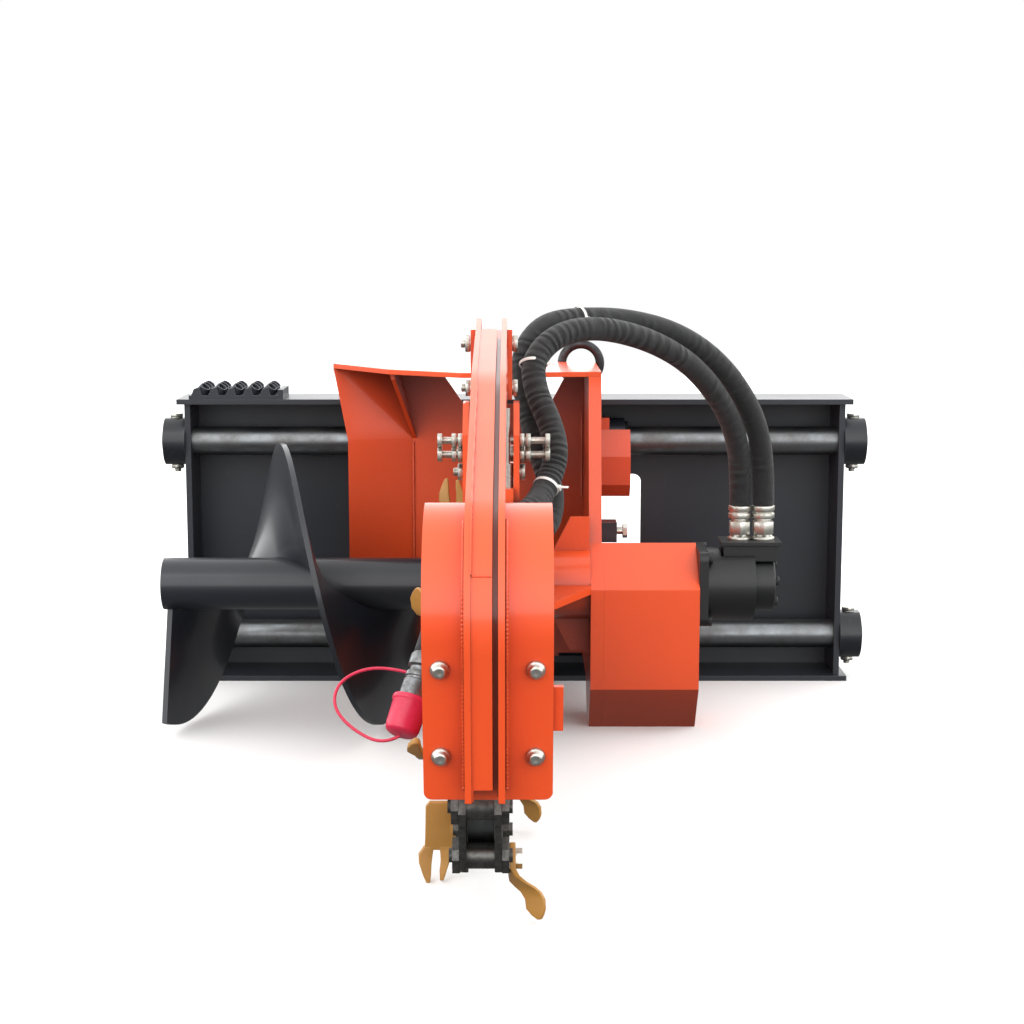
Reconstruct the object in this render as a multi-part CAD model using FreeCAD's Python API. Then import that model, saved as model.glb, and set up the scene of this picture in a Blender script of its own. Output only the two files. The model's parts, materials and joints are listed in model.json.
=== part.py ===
import FreeCAD
import Part
import math
import os

# Skid steer trencher in millimetres. A coupler frame carries two slide rods, and a side-shift
# carriage on them carries the digging boom, the auger, the motor and the crumber shoe.
# X runs to the right seen from the nose of the boom, -Y towards that nose, Z up.
# The origin is on the rear face of the coupler plate, mid width, on the ground.

V = FreeCAD.Vector

# General clearances
seat_gap = 0.2
running_gap = 0.05
soft_gap = 0.3

# Coupler frame
frame_width = 1163.0
frame_height = 495.0
frame_depth = 115.0
plate_thickness = 12.0
flange_thickness = 9.0
side_plate_thickness = 10.0
side_plate_inset = 11.5
window_width = 450.0
window_height = 211.0
window_corner = 15.0
lip_reach = 34.0
lip_thickness = 10.0
ledge_reach = 46.0
ledge_thickness = 12.0
ledge_drop = 24.0
lock_slot_spacing = 770.0
lock_slot_width = 62.0
lock_slot_depth = 24.0

# Slide rods and their end collars
rod_diameter = 50.0
rod_setback = 70.0
rod_edge_distance = 76.0
rod_height_lower = rod_edge_distance
rod_height_upper = frame_height - rod_edge_distance
rod_overhang = 42.0
collar_diameter = 84.0
collar_length = 38.0
collar_bolt_diameter = 12.0
bolt_head_ratio = 1.7
bolt_head_height_ratio = 0.65

# Step tread on the top flange
tread_left = -560.0
tread_length = 162.0
tread_depth = 88.0
tread_base = 7.0
tread_height = 21.0
tread_teeth = 5

# Carriage sleeves
sleeve_diameter = 80.0
sleeve_left = -255.0
sleeve_right = 190.0
bush_length = 50.0
bush_wall = 5.0
wiper_thickness = 6.0
saddle_width = 40.0
saddle_height = 60.0

# Hood
hood_left = -175.0
wing_left = -283.0
wing_top_left = -306.0
wing_forward = 34.0
wing_bottom = 150.0
wing_fold_height = 430.0
wing_top_offset = 29.0
hood_plate = 8.0
back_plate_thickness = 10.0
back_plate_front = 130.0
back_plate_bottom = 54.0
hood_rise = 65.0
hood_top = frame_height + hood_rise
hood_reach = 375.0
hood_reach_right = 350.0
hood_corner_inset = 90.0
side_plate_left = 117.0
drive_plate_thickness = 20.0
rib_reach = 150.0
rib_front_drop = 10.0
rib_thickness = 7.0
back_notch_top = (-131.0, 94.0)
back_notch_bottom = (-87.0, 60.0)
back_notch_depth = 72.0
back_notch_height = hood_top - back_notch_depth
ring_outer_radius = 40.0
ring_wire = 15.0
ring_x = 113.0
ring_drop = 3.0
ring_height = hood_top - ring_drop
clamp_width = 62.0
clamp_below_rod = 93.0
clamp_above_rod = 23.0
clamp_fold_below_rod = 22.0
clamp_bottom = rod_height_upper - clamp_below_rod
clamp_top = rod_height_upper + clamp_above_rod
clamp_fold = rod_height_upper - clamp_fold_below_rod
clamp_reach = 125.0
clamp_tab_width = 26.0
clamp_tab_rise = 20.0

# Head shaft and its bearings
head_setback = 414.0
head_height = 230.0
shaft_diameter = 50.0
shaft_left = -150.0
shaft_right = 236.0
housing_diameter = 110.0
housing_left = -4.0
bearing_diameter = 74.0
bearing_width = 20.0
bearing_inset = 14.0
seal_width = 7.0
gusset_thickness = 10.0
gusset_reach = 52.0
gusset_top_width = 30.0
gusset_foot_width = 58.0

# Drive guard, coupling and motor
guard_right = 286.0
guard_wall = 8.0
guard_front = 66.0
guard_back = 74.0
guard_top = 63.0
guard_top_back = 14.0
guard_bend_upper = 2.0
guard_bend_lower = 156.0
guard_foot_back = 10.0
guard_top_drop = 11.0
coupling_diameter = 70.0
coupling_length = 64.0
motor_shaft_diameter = 32.0
motor_hole_diameter = 64.0
motor_flange = 118.0
motor_flange_thickness = 14.0
motor_diameter = 116.0
motor_body_length = 74.0
motor_cover_diameter = 86.0
motor_cover_length = 33.0
port_block_left = 322.0
port_block_length = 94.0
port_block_depth = 62.0
port_block_top = 301.0
port_plate_thickness = 6.0
port_left_x = 353.0
port_spacing = 37.0
hose_diameter = 34.0
ferrule_diameter = 36.0
ferrule_length = 22.0
nut_flats = 34.0
nut_height = 28.0
adapter_flange_height = 6.0

# Digging chain and boom
boom_x = -40.0
chain_pitch = 76.2
sprocket_teeth = 8
run_links = 11
bush_diameter = 30.0
pin_diameter = 16.0
pin_head_reach = 4.0
chain_gap = 31.4
link_plate = 8.0
link_height = 40.0
plate_play = 0.2
sprocket_width = 26.0
hub_diameter = 84.0
hub_length = 60.0
tooth_rise = 74.8
chisel_reach = 74.0
fork_reach = 63.0
wide_reach = 90.0
tooth_plate = 7.0
tooth_base_length = 46.0
tooth_tip_length = 9.0
tooth_tip_lead = 12.0
beam_width = 70.0
beam_height = 100.0
beam_wall = 8.0
beam_rear = 170.0
beam_front = 95.0
rail_width = 24.0
fork_plate = 10.0
fork_radius = 58.0
roller_width = 30.0
nose_pin_diameter = 30.0
roller_bush_diameter = 44.0
drum_hole_circle = 52.0
drum_hole_radius = 11.0
support_plate = 14.0
support_disc_radius = 70.0
support_length = 330.0
support_height = 96.0
brace_thickness = 12.0
brace_front_at_wall = 66.0
brace_front_at_arm = 224.0
brace_rear_at_arm = 64.0
support_bolt_setbacks = (252.0, 300.0)
support_bolt_rise = 33.0

# Auger
auger_left = -554.0
auger_tube_diameter = 82.0
auger_tube_right = -128.0
flight_radius = 222.0
flight_pitch = 320.0
flight_left = -548.0
flight_right = -136.0
flight_bottom_x = -207.0
flight_thickness = 8.0
auger_flange_diameter = 118.0
auger_flange_thickness = 12.0

# Crumber support above the chain
arm_x = -33.0
support_beam_bottom = 412.0
support_beam_height = 30.0
support_beam_width = 60.0
support_beam_front = 862.0
mast_plate = 8.0
mast_front = 850.0
mast_back = 762.0
mast_top = 553.0
mast_gap = 0.2
riser_plate = 7.0
riser_offset = 14.0
riser_bottom = 468.0
ear_plate = 7.0
ear_width = 40.0
pivot_setback = 752.0
pivot_height = 629.0
ear_bolt_spacing = 61.0
lower_bolt_height = pivot_height - ear_bolt_spacing
clamp_bolt_upper = 482.0
clamp_bolt_lower = 457.0
mast_bolt_diameter = 12.0
adjuster_diameter = 10.0
adjuster_setback = 824.0
adjuster_height = 503.0
adjuster_pitch = 19.0
adjuster_reach_left = 31.0
adjuster_reach_right = 38.0
clamp_bolt_offset = 8.0
spring_tube_diameter = 15.0
spring_tube_length = 32.0
spring_rod_diameter = 6.0
spring_rod_top = 548.0

# Crumber arm and shoe
arm_width = 42.0
arm_side = 7.0
arm_depth = 48.0
arm_rear = 722.0
arm_rear_rise = 33.0
arm_rear_top = pivot_height + arm_rear_rise
arm_knee = 1070.0
arm_knee_drop = 17.0
arm_knee_top = pivot_height - arm_knee_drop
arm_web_drop = 16.0
arm_web = 8.0
arm_knee_radius = 300.0
arm_front_radius = 130.0
arm_front_reach = 48.8
arm_front_rise = 107.0
cover_width = 22.0
cover_drop = 3.0
cover_rear = 60.0
shoe_x = -30.0
shoe_width = 136.0
shoe_plate = 8.0
shoe_arc_radius = 110.0
shoe_bend_setback = 1466.2
shoe_bend_height = 365.0
shoe_bottom = 190.0
shoe_tilt = 10.7
shoe_arc_sweep = 101.0
shoe_corner = 9.0
arm_proud = 28.0
shoe_bolt_diameter = 10.0
shoe_bolt_spacing = 99.0
shoe_bolt_upper = 337.0
shoe_bolt_lower = 240.0
wear_plate = 6.0
wear_plate_margin = 18.0
notch_width = 24.0
arm_foot_rise = 10.0
lug_reach = 11.0
lug_top = 314.0
lug_bottom = 265.0
shoe_bolt_head = 9.0
shoe_bolt_dome = 5.5
notch_height = 14.0

# Hose routes: from the motor ports over the boom to the couplings on its left
outer_hose_route = [
    (390, -414, 357), (390, -414, 414), (375, -433, 488), (337, -460, 553), (288, -490, 602),
    (228, -524, 636), (160, -562, 653), (94, -602, 656), (44, -640, 651), (14, -664, 621),
    (9, -684, 576), (20, -706, 532), (28, -730, 490), (44, -750, 452), (53, -764, 408),
    (40, -794, 374), (4, -826, 364), (-40, -850, 358), (-84, -864, 334), (-107, -866, 288),
    (-112, -862, 240),
]
inner_hose_route = [
    (353, -414, 357), (353, -414, 410), (342, -442, 471), (310, -486, 532), (262, -532, 586),
    (204, -574, 621), (142, -617, 641), (92, -655, 645), (50, -686, 632), (23, -711, 600),
    (28, -736, 560), (48, -760, 520), (57, -780, 482), (48, -796, 450), (34, -826, 426),
    (20, -864, 414), (-12, -896, 402), (-52, -910, 378), (-84, -918, 336), (-105, -924, 282),
    (-121.5, -932.5, 228),
]
hose_arc_share = 0.45
coupling_body = 62.0
coupling_radius = 19.0
cap_radius = 25.0
cap_length = 46.0
strap_diameter = 4.0
tie_width = 5.0
tie_thickness = 1.6

# Worked out from the driving dimensions
half_width = frame_width / 2.0
side_plate_outer = half_width - side_plate_inset
rod_heights = (rod_height_lower, rod_height_upper)
drive_plate_right = side_plate_left + drive_plate_thickness
pitch_radius = chain_pitch / (2.0 * math.sin(math.pi / sprocket_teeth))
boom_length = chain_pitch * run_links
inner_half = chain_gap / 2.0
outer_half = inner_half + 2.0 * link_plate + plate_play
pin_half = outer_half + pin_head_reach
tip_radius = pitch_radius + tooth_rise
drum_radius = pitch_radius - bush_diameter / 2.0 - soft_gap
ground_tooth_y = boom_length - 1.5 * chain_pitch + tooth_tip_length - tooth_tip_lead
ground_reach = math.hypot(ground_tooth_y, tip_radius)
boom_droop = math.degrees(math.asin(head_height / ground_reach) - math.atan2(tip_radius, ground_tooth_y))
flow = math.radians(shoe_tilt)
port_xs = (port_left_x, port_left_x + port_spacing)
arm_half = arm_width / 2.0
mast_outer = support_beam_width / 2.0 + mast_plate
arm_front_corner = shoe_bend_setback + arm_front_reach
arm_front_top = shoe_bend_height + arm_front_rise

shapes = {}
lock_bolts = []


def box(x0, x1, y0, y1, z0, z1):
    return Part.makeBox(x1 - x0, y1 - y0, z1 - z0, V(x0, y0, z0))


def rod_along_x(x0, x1, y, z, radius):
    return Part.makeCylinder(radius, x1 - x0, V(x0, y, z), V(1, 0, 0))


def rod_along_z(x, y, z0, z1, radius):
    return Part.makeCylinder(radius, z1 - z0, V(x, y, z0), V(0, 0, 1))


def tube_along_x(x0, x1, y, z, outer, inner):
    bore = rod_along_x(x0 - 1, x1 + 1, y, z, inner)
    return rod_along_x(x0, x1, y, z, outer).cut(bore)


def prism(points, direction):
    """Flat outline extruded along a direction."""
    wire = Part.makePolygon(points + [points[0]])
    return Part.Face(wire).extrude(direction)


def prism_x(outline, x0, x1):
    return prism([V(x0, y, z) for y, z in outline], V(x1 - x0, 0, 0))


def prism_y(outline, y0, y1):
    return prism([V(x, y0, z) for x, z in outline], V(0, y1 - y0, 0))


def prism_z(outline, z0, z1):
    return prism([V(x, y, z0) for x, y in outline], V(0, 0, z1 - z0))


def hexagon(centre, axis, flats, height):
    """Hexagonal head or nut standing on its centre point along an axis."""
    radius = flats / math.sqrt(3.0)
    corners = []
    for step in range(6):
        angle = math.radians(60.0 * step)
        corners.append(V(radius * math.cos(angle), radius * math.sin(angle), 0))
    head = prism(corners, V(0, 0, height))
    head.Placement = FreeCAD.Placement(centre, FreeCAD.Rotation(V(0, 0, 1), axis))
    return head


def bolt(start, axis, diameter, length, nut=True, overrun=6.0):
    """Hex bolt: head under the start point, shank along the axis, nut and thread end past it."""
    axis = V(axis).normalize()
    flats = diameter * bolt_head_ratio
    head_height = diameter * bolt_head_height_ratio
    body = hexagon(start - axis * head_height, axis, flats, head_height)
    shank_length = length
    if nut:
        shank_length = length + diameter * bolt_head_height_ratio + overrun
        body = body.fuse(hexagon(start + axis * length, axis, flats, head_height))
    shank = Part.makeCylinder(diameter / 2.0, shank_length, start, axis)
    return body.fuse(shank).removeSplitter()


def bolt_head(foot, outward, diameter):
    """Hex head standing on the face it clamps."""
    flats = diameter * bolt_head_ratio
    return hexagon(foot, V(outward).normalize(), flats, diameter * bolt_head_height_ratio)


def domed_bolt(start, axis, grip):
    """Round-headed shoe bolt with a hex nut behind its grip."""
    head = Part.makeCylinder(shoe_bolt_head, shoe_bolt_dome, start - axis * shoe_bolt_dome, axis)
    rim = [edge for edge in head.Edges if edge.Curve.TypeId == "Part::GeomCircle"
           and (edge.Curve.Center - (start - axis * shoe_bolt_dome)).Length < 0.1]
    head = head.makeFillet(shoe_bolt_dome - 1.0, rim)
    nut_height = shoe_bolt_diameter * bolt_head_height_ratio
    nut_solid = hexagon(start + axis * grip, axis, shoe_bolt_diameter * bolt_head_ratio, nut_height)
    shank = Part.makeCylinder(shoe_bolt_diameter / 2, grip + nut_height + 2, start, axis)
    return head.fuse([nut_solid, shank])


def group(solids):
    return Part.makeCompound(solids)


def mirrored_pair(build):
    return [build(-1), build(1)]


def to_boom(shape):
    """Move a shape from the boom's own frame, with the head shaft at its origin, into place."""
    placed = shape.copy()
    placed.rotate(V(0, 0, 0), V(1, 0, 0), boom_droop)
    placed.translate(V(boom_x, -head_setback, head_height))
    return placed


def chain_pins():
    """Pin centres round the loop, as (y, z) in the boom's own frame."""
    pins = [(-chain_pitch * i, pitch_radius) for i in range(run_links + 1)]
    half_turn = sprocket_teeth // 2
    for i in range(1, half_turn):
        angle = math.radians(90.0 - 360.0 * i / sprocket_teeth)
        pins.append((-boom_length - pitch_radius * math.cos(angle), pitch_radius * math.sin(angle)))
    pins += [(-chain_pitch * (run_links - i), -pitch_radius) for i in range(run_links + 1)]
    for i in range(1, half_turn):
        angle = math.radians(-90.0 + 360.0 * i / sprocket_teeth)
        pins.append((pitch_radius * math.cos(angle), pitch_radius * math.sin(angle)))
    return pins


def place_link(shape, pins, index):
    """Turn a link modelled from the origin towards -Y so that it joins two pins."""
    y0, z0 = pins[index]
    y1, z1 = pins[(index + 1) % len(pins)]
    placed = shape.copy()
    placed.rotate(V(0, 0, 0), V(1, 0, 0), math.degrees(math.atan2(z0 - z1, y0 - y1)))
    placed.translate(V(0, y0, z0))
    return to_boom(placed)


def coupler_frame():
    back = -plate_thickness
    mid = frame_height / 2.0
    plate_edge = side_plate_outer - side_plate_thickness
    plate = box(-plate_edge, plate_edge, back, 0, flange_thickness, frame_height - flange_thickness)
    window = box(-window_width / 2, window_width / 2, back - 1, 1, mid - window_height / 2,
                 mid + window_height / 2)
    upright = [edge for edge in window.Edges if abs(edge.Vertexes[0].Y - edge.Vertexes[-1].Y) > 1]
    shapes["attach_plate"] = plate.cut(window.makeFillet(window_corner, upright))

    root = lip_thickness * math.sqrt(2.0)
    lip = [(0, frame_height), (lip_reach, frame_height - lip_reach),
           (lip_reach - root / 2, frame_height - lip_reach - root / 2), (0, frame_height - root)]
    shapes["attach_lip"] = prism_x(lip, -plate_edge, plate_edge)

    ledge = [(0, ledge_drop), (0, ledge_drop + ledge_thickness), (ledge_reach, ledge_thickness),
             (ledge_reach, 0)]
    ledge_bar = prism_x(ledge, -plate_edge, plate_edge)
    for side in (-1, 1):
        centre = side * lock_slot_spacing / 2
        middle = ledge_reach / 2
        slot = box(centre - lock_slot_width / 2, centre + lock_slot_width / 2,
                   middle - lock_slot_depth / 2, middle + lock_slot_depth / 2, -1, frame_height / 4)
        ledge_bar = ledge_bar.cut(slot)
    shapes["lock_ledge"] = ledge_bar

    flanges = []
    for low in (0, frame_height - flange_thickness):
        flanges.append(box(-half_width, half_width, -frame_depth, 0, low, low + flange_thickness))
    shapes["frame_flanges"] = group(flanges)

    hole = rod_diameter / 2 + running_gap

    def side_plate(side):
        inner = side * (side_plate_outer - side_plate_thickness)
        outer = side * side_plate_outer
        plate = box(min(inner, outer), max(inner, outer), -frame_depth + side_plate_inset, 0,
                    flange_thickness, frame_height - flange_thickness)
        for height in rod_heights:
            plate = plate.cut(rod_along_x(-half_width, half_width, -rod_setback, height, hole))
        return plate

    shapes["side_plates"] = group(mirrored_pair(side_plate))


def slide_rods():
    reach = side_plate_outer + rod_overhang
    bolt_x = side_plate_outer + collar_length / 2
    hole = collar_bolt_diameter / 2 + running_gap
    collar_radius = collar_diameter / 2
    rods = []
    collars = []
    bolts = []
    for height in rod_heights:
        rod = rod_along_x(-reach, reach, -rod_setback, height, rod_diameter / 2)
        rod = rod.makeChamfer(2.0, [edge for edge in rod.Edges if edge.Curve.TypeId == "Part::GeomCircle"])
        for side in (-1, 1):
            cross = rod_along_z(side * bolt_x, -rod_setback, height - collar_radius - 1,
                                height + collar_radius + 1, hole)
            rod = rod.cut(cross)
            start = min(side * side_plate_outer, side * (side_plate_outer + collar_length))
            collar = tube_along_x(start, start + collar_length, -rod_setback, height, collar_radius,
                                  rod_diameter / 2 + running_gap)
            flat_top = height + collar_radius - 2
            collar = collar.cut(box(start - 1, start + collar_length + 1, -rod_setback - 14,
                                    -rod_setback + 14, flat_top, flat_top + 9))
            flat_bottom = height - collar_radius + 2
            collar = collar.cut(box(start - 1, start + collar_length + 1, -rod_setback - 14,
                                    -rod_setback + 14, flat_bottom - 9, flat_bottom))
            collars.append(collar.cut(cross))
            bolts.append(bolt(V(side * bolt_x, -rod_setback, flat_top), V(0, 0, -1),
                              collar_bolt_diameter, flat_top - flat_bottom))
        rods.append(rod)
    shapes["slide_rods"] = group(rods)
    shapes["rod_collars"] = group(collars)
    shapes["collar_bolts"] = group(bolts)


def step_tread():
    """Serrated anti-slip tread: one base bar with upstanding saw teeth across it."""
    right = tread_left + tread_length
    pitch = tread_length / (tread_teeth + 0.5)
    outline = [(tread_left, 0), (tread_left, tread_base)]
    for i in range(tread_teeth):
        x = tread_left + pitch * (i + 0.15)
        outline += [(x, tread_base), (x + pitch * 0.15, tread_height * 0.85),
                    (x + pitch * 0.5, tread_height), (x + pitch * 0.62, tread_base)]
    outline += [(right - pitch * 0.3, tread_base), (right - pitch * 0.3, tread_height * 0.8),
                (right, tread_height * 0.8), (right, 0)]
    bar = prism_y([(x, z + frame_height) for x, z in outline], -frame_depth, -frame_depth + tread_depth)
    shapes["step_tread"] = bar


def carriage_sleeves():
    bush_outer = rod_diameter / 2 + running_gap + bush_wall
    plate_back = -back_plate_front + back_plate_thickness
    sleeves = []
    bushes = []
    wipers = []
    saddles = []
    for height in rod_heights:
        sleeve = tube_along_x(sleeve_left, sleeve_right, -rod_setback, height, sleeve_diameter / 2,
                              bush_outer + running_gap)
        sleeves.append(sleeve)
        for end in (sleeve_left, sleeve_right - bush_length):
            bushes.append(tube_along_x(end, end + bush_length, -rod_setback, height, bush_outer,
                                       rod_diameter / 2 + running_gap))
        for end in (sleeve_left - wiper_thickness, sleeve_right):
            wipers.append(tube_along_x(end, end + wiper_thickness, -rod_setback, height,
                                       sleeve_diameter / 2 - 6, rod_diameter / 2 + 2 * running_gap))
        shell = rod_along_x(sleeve_left, sleeve_right, -rod_setback, height, sleeve_diameter / 2 + seat_gap)
        for x in (hood_left + saddle_width, side_plate_left - 2 * saddle_width):
            saddle = box(x, x + saddle_width, plate_back, -rod_setback, height - saddle_height / 2,
                         height + saddle_height / 2)
            saddles.append(saddle.cut(shell))
    shapes["slide_sleeves"] = group(sleeves)
    shapes["slide_bushes"] = group(bushes)
    shapes["slide_wipers"] = group(wipers)
    shapes["sleeve_saddles"] = group(saddles)

    block_left = drive_plate_right
    fold = (clamp_fold, clamp_reach)
    outline = [(-rod_setback, clamp_top), (-rod_setback - 35, clamp_top), (-fold[1], fold[0]),
               (-fold[1], clamp_bottom + 22), (-rod_setback - 35, clamp_bottom), (-rod_setback, clamp_bottom)]
    block = prism_x(outline, block_left, block_left + clamp_width)
    tab = box(block_left, block_left + clamp_tab_width, -rod_setback - 35, -rod_setback, clamp_top,
              clamp_top + clamp_tab_rise)
    block = block.fuse(tab)
    shell = rod_along_x(sleeve_left, block_left + clamp_width + 1, -rod_setback, rod_height_upper,
                        sleeve_diameter / 2 + seat_gap)
    shapes["sleeve_clamp"] = block.cut(shell)


def hood():
    back = -back_plate_front
    plate_back = back + back_plate_thickness
    plate_top = hood_top - hood_plate
    outline = [(hood_left, back_plate_bottom), (hood_left, wing_fold_height),
               (hood_left - wing_top_offset, plate_top), (back_notch_top[0], plate_top),
               (back_notch_bottom[0], back_notch_height), (back_notch_bottom[1], back_notch_height),
               (back_notch_top[1], plate_top), (side_plate_left, plate_top),
               (side_plate_left, back_plate_bottom)]
    shapes["carriage_back_plate"] = prism_y(outline, back, plate_back)

    wing_y = back - wing_forward
    lower = [V(hood_left, back, wing_bottom), V(wing_left, wing_y, wing_bottom),
             V(wing_left, wing_y, wing_fold_height), V(hood_left, back, wing_fold_height)]
    upper = [V(hood_left, back, wing_fold_height), V(wing_left, wing_y, wing_fold_height),
             V(wing_top_left, wing_y, hood_top - hood_plate), V(hood_left - wing_top_offset, back,
                                                                hood_top - hood_plate)]
    thick = V(0, hood_plate, 0)
    wing = prism(lower, thick)
    for corners in (upper[:3], [upper[0], upper[2], upper[3]]):
        wing = wing.fuse(prism(corners, thick))
    shapes["deflector_wing"] = wing

    top = [(wing_top_left, plate_back), (wing_top_left, wing_y),
           (hood_left - wing_top_offset, -2.3 * back_plate_front), (hood_left + hood_corner_inset, -hood_reach),
           (side_plate_left, -hood_reach_right), (drive_plate_right, -hood_reach_right),
           (drive_plate_right, plate_back)]
    shapes["hood_top_plate"] = prism_z(top, hood_top - hood_plate, hood_top)

    fold_x = hood_left - wing_top_offset
    lean = wing_top_offset / (plate_top - wing_fold_height)
    rib_front = back - rib_reach
    rib = [V(hood_left, back, wing_fold_height), V(fold_x, back, plate_top),
           V(fold_x, rib_front, plate_top),
           V(fold_x + rib_front_drop * lean, rib_front, plate_top - rib_front_drop)]
    shapes["hood_rib"] = prism(rib, V(rib_thickness, 0, 0))

    front = -head_setback - guard_front
    outline = [(plate_back, back_plate_bottom), (plate_back, hood_top - hood_plate),
               (-hood_reach_right, hood_top - hood_plate),
               (-head_setback + guard_top_back, head_height + guard_top),
               (front, head_height + guard_bend_upper),
               (front, head_height - guard_bend_lower), (-head_setback - guard_foot_back, 0),
               (-head_setback + guard_back, 0), (-head_setback + guard_back + 40, back_plate_bottom)]
    plate = prism_x(outline, side_plate_left, drive_plate_right)
    hole = rod_along_x(side_plate_left - 1, drive_plate_right + 1, -head_setback, head_height,
                       bearing_diameter / 2 + running_gap)
    shapes["drive_side_plate"] = plate.cut(hole)

    ring_y = plate_back + ring_wire / 2 + seat_gap
    ring = Part.makeTorus(ring_outer_radius - ring_wire / 2, ring_wire / 2, V(ring_x, ring_y, ring_height),
                          V(0, 1, 0))
    shapes["lifting_ring"] = ring

    block_y = -head_setback + guard_back + 10
    block = box(drive_plate_right, drive_plate_right + 28, block_y, block_y + 40, head_height + 52,
                head_height + 84)
    shapes["clamp_block"] = block
    lock_bolts.append(bolt(V(drive_plate_right + 38, block_y + 20, head_height + 68), V(-1, 0, 0), 12.0,
                           10.0, nut=False))


def head_bearings():
    y = -head_setback
    z = head_height
    bore = bearing_diameter / 2
    housing = tube_along_x(housing_left, side_plate_left, y, z, housing_diameter / 2, bore + running_gap)
    radius = housing_diameter / 2
    outline = [(side_plate_left, radius - 2), (side_plate_left, radius + gusset_reach),
               (side_plate_left - gusset_top_width, radius + gusset_reach),
               (side_plate_left - gusset_foot_width, radius - 2)]
    gusset = prism_y(outline, -gusset_thickness / 2, gusset_thickness / 2)
    # No web towards the nose, where the brace of the boom support passes
    for turn in (0, 180, 270):
        web = gusset.copy()
        web.rotate(V(0, 0, 0), V(1, 0, 0), turn)
        web.translate(V(0, y, z))
        housing = housing.fuse(web)
    clear = rod_along_x(housing_left - 1, side_plate_left + 1, y, z, bore + running_gap)
    shapes["bearing_housing"] = housing.cut(clear)

    shaft = shaft_diameter / 2
    seats = (housing_left + bearing_inset, side_plate_left - bearing_inset - bearing_width + 10)
    bearings = []
    seals = []
    for x in seats:
        race = tube_along_x(x, x + bearing_width, y, z, bore, shaft + running_gap)
        bearings.append(race)
    shapes["shaft_bearings"] = group(bearings)
    for x in (housing_left + 3, drive_plate_right - 3 - seal_width):
        seals.append(tube_along_x(x, x + seal_width, y, z, bore - 2 * running_gap, shaft + 2 * running_gap))
    shapes["shaft_seals"] = group(seals)


def drive_guard():
    y = -head_setback
    z = head_height
    outline = [(y + guard_top_back, z + guard_top), (y - guard_front, z + guard_bend_upper),
               (y - guard_front, z - guard_bend_lower), (y - guard_foot_back, 0), (y + guard_back, 0),
               (y + guard_back, z + guard_top - guard_top_drop)]
    shell = prism_x(outline, drive_plate_right, guard_right)
    wall = guard_wall
    inner = [(y + guard_top_back - 3, z + guard_top - wall),
             (y - guard_front + wall, z + guard_bend_upper - 4),
             (y - guard_front + wall, z - guard_bend_lower + 3), (y - guard_foot_back + 5, wall),
             (y + guard_back - wall, wall), (y + guard_back - wall, z + guard_top - guard_top_drop - wall)]
    shell = shell.cut(prism_x(inner, drive_plate_right - 1, guard_right - wall))
    hole = rod_along_x(guard_right - 2 * wall, guard_right + 1, y, z, motor_hole_diameter / 2)
    shapes["drive_guard"] = shell.cut(hole)


def motor():
    y = -head_setback
    z = head_height
    flange_end = guard_right + motor_flange_thickness
    half = motor_flange / 2
    flange = box(guard_right, flange_end, y - half, y + half, z - half, z + half)
    corners = [edge for edge in flange.Edges if abs(edge.Vertexes[0].X - edge.Vertexes[-1].X) > 1]
    flange = flange.makeFillet(14.0, corners)
    body_end = flange_end + motor_body_length
    body = flange.fuse(rod_along_x(flange_end, body_end, y, z, motor_diameter / 2))
    port_cut = box(port_block_left, port_block_left + port_block_length, y - port_block_depth / 2,
                   y + port_block_depth / 2, z + 40, port_block_top)
    body = body.cut(port_cut)
    bore = rod_along_x(guard_right - 1, flange_end + 30, y, z, motor_shaft_diameter / 2 + 1)
    shapes["motor_housing"] = body.cut(bore)
    cover = rod_along_x(body_end, body_end + motor_cover_length, y, z, motor_cover_diameter / 2)
    cover_end = body_end + motor_cover_length
    round_edge = [edge for edge in cover.Edges if abs(edge.CenterOfMass.x - cover_end) < 0.1]
    cover = cover.makeFillet(4.0, round_edge)
    shapes["motor_end_cover"] = cover.cut(port_cut)

    plate_bottom = port_block_top - port_plate_thickness
    block = box(port_block_left + 4, port_block_left + port_block_length - 4, y - port_block_depth / 2 + 4,
                y + port_block_depth / 2 - 4, z + 40, plate_bottom)
    plate = box(port_block_left, port_block_left + port_block_length, y - port_block_depth / 2,
                y + port_block_depth / 2, plate_bottom, port_block_top)
    shapes["port_block"] = block.fuse(plate)

    bolts = []
    reach = half - 10.0
    for side_y in (-1, 1):
        for side_z in (-1, 1):
            start = V(flange_end, y + side_y * reach, z + side_z * reach)
            bolts.append(bolt_head(start, V(1, 0, 0), 10.0))
    end = body_end + motor_cover_length
    for i in range(5):
        angle = math.radians(90.0 + 72.0 * i)
        centre = V(end, y + 31 * math.cos(angle), z + 31 * math.sin(angle))
        bolts.append(hexagon(centre, V(1, 0, 0), 13.0, 6.0))
    shapes["motor_bolts"] = group(bolts)

    adapters = []
    ferrules = []
    nut_bottom = port_block_top + adapter_flange_height
    for x in port_xs:
        foot = rod_along_z(x, y, port_block_top, nut_bottom, port_spacing / 2 - seat_gap)
        adapters.append(foot.fuse(hexagon(V(x, y, nut_bottom), V(0, 0, 1), nut_flats - 2, nut_height)))
        ferrule_bottom = nut_bottom + nut_height
        neck = rod_along_z(x, y, ferrule_bottom, ferrule_bottom + 2, hose_diameter / 2 - 3)
        bands = neck
        band = (ferrule_length - 2) / 2
        for i in (0, 1):
            low = ferrule_bottom + 2 + band * i
            bands = bands.fuse(rod_along_z(x, y, low, low + band - 2, ferrule_diameter / 2))
            bands = bands.fuse(rod_along_z(x, y, low + band - 2, low + band, ferrule_diameter / 2 - 2))
        ferrules.append(bands)
    shapes["port_adapters"] = group(adapters)
    shapes["hose_ferrules"] = group(ferrules)


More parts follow.
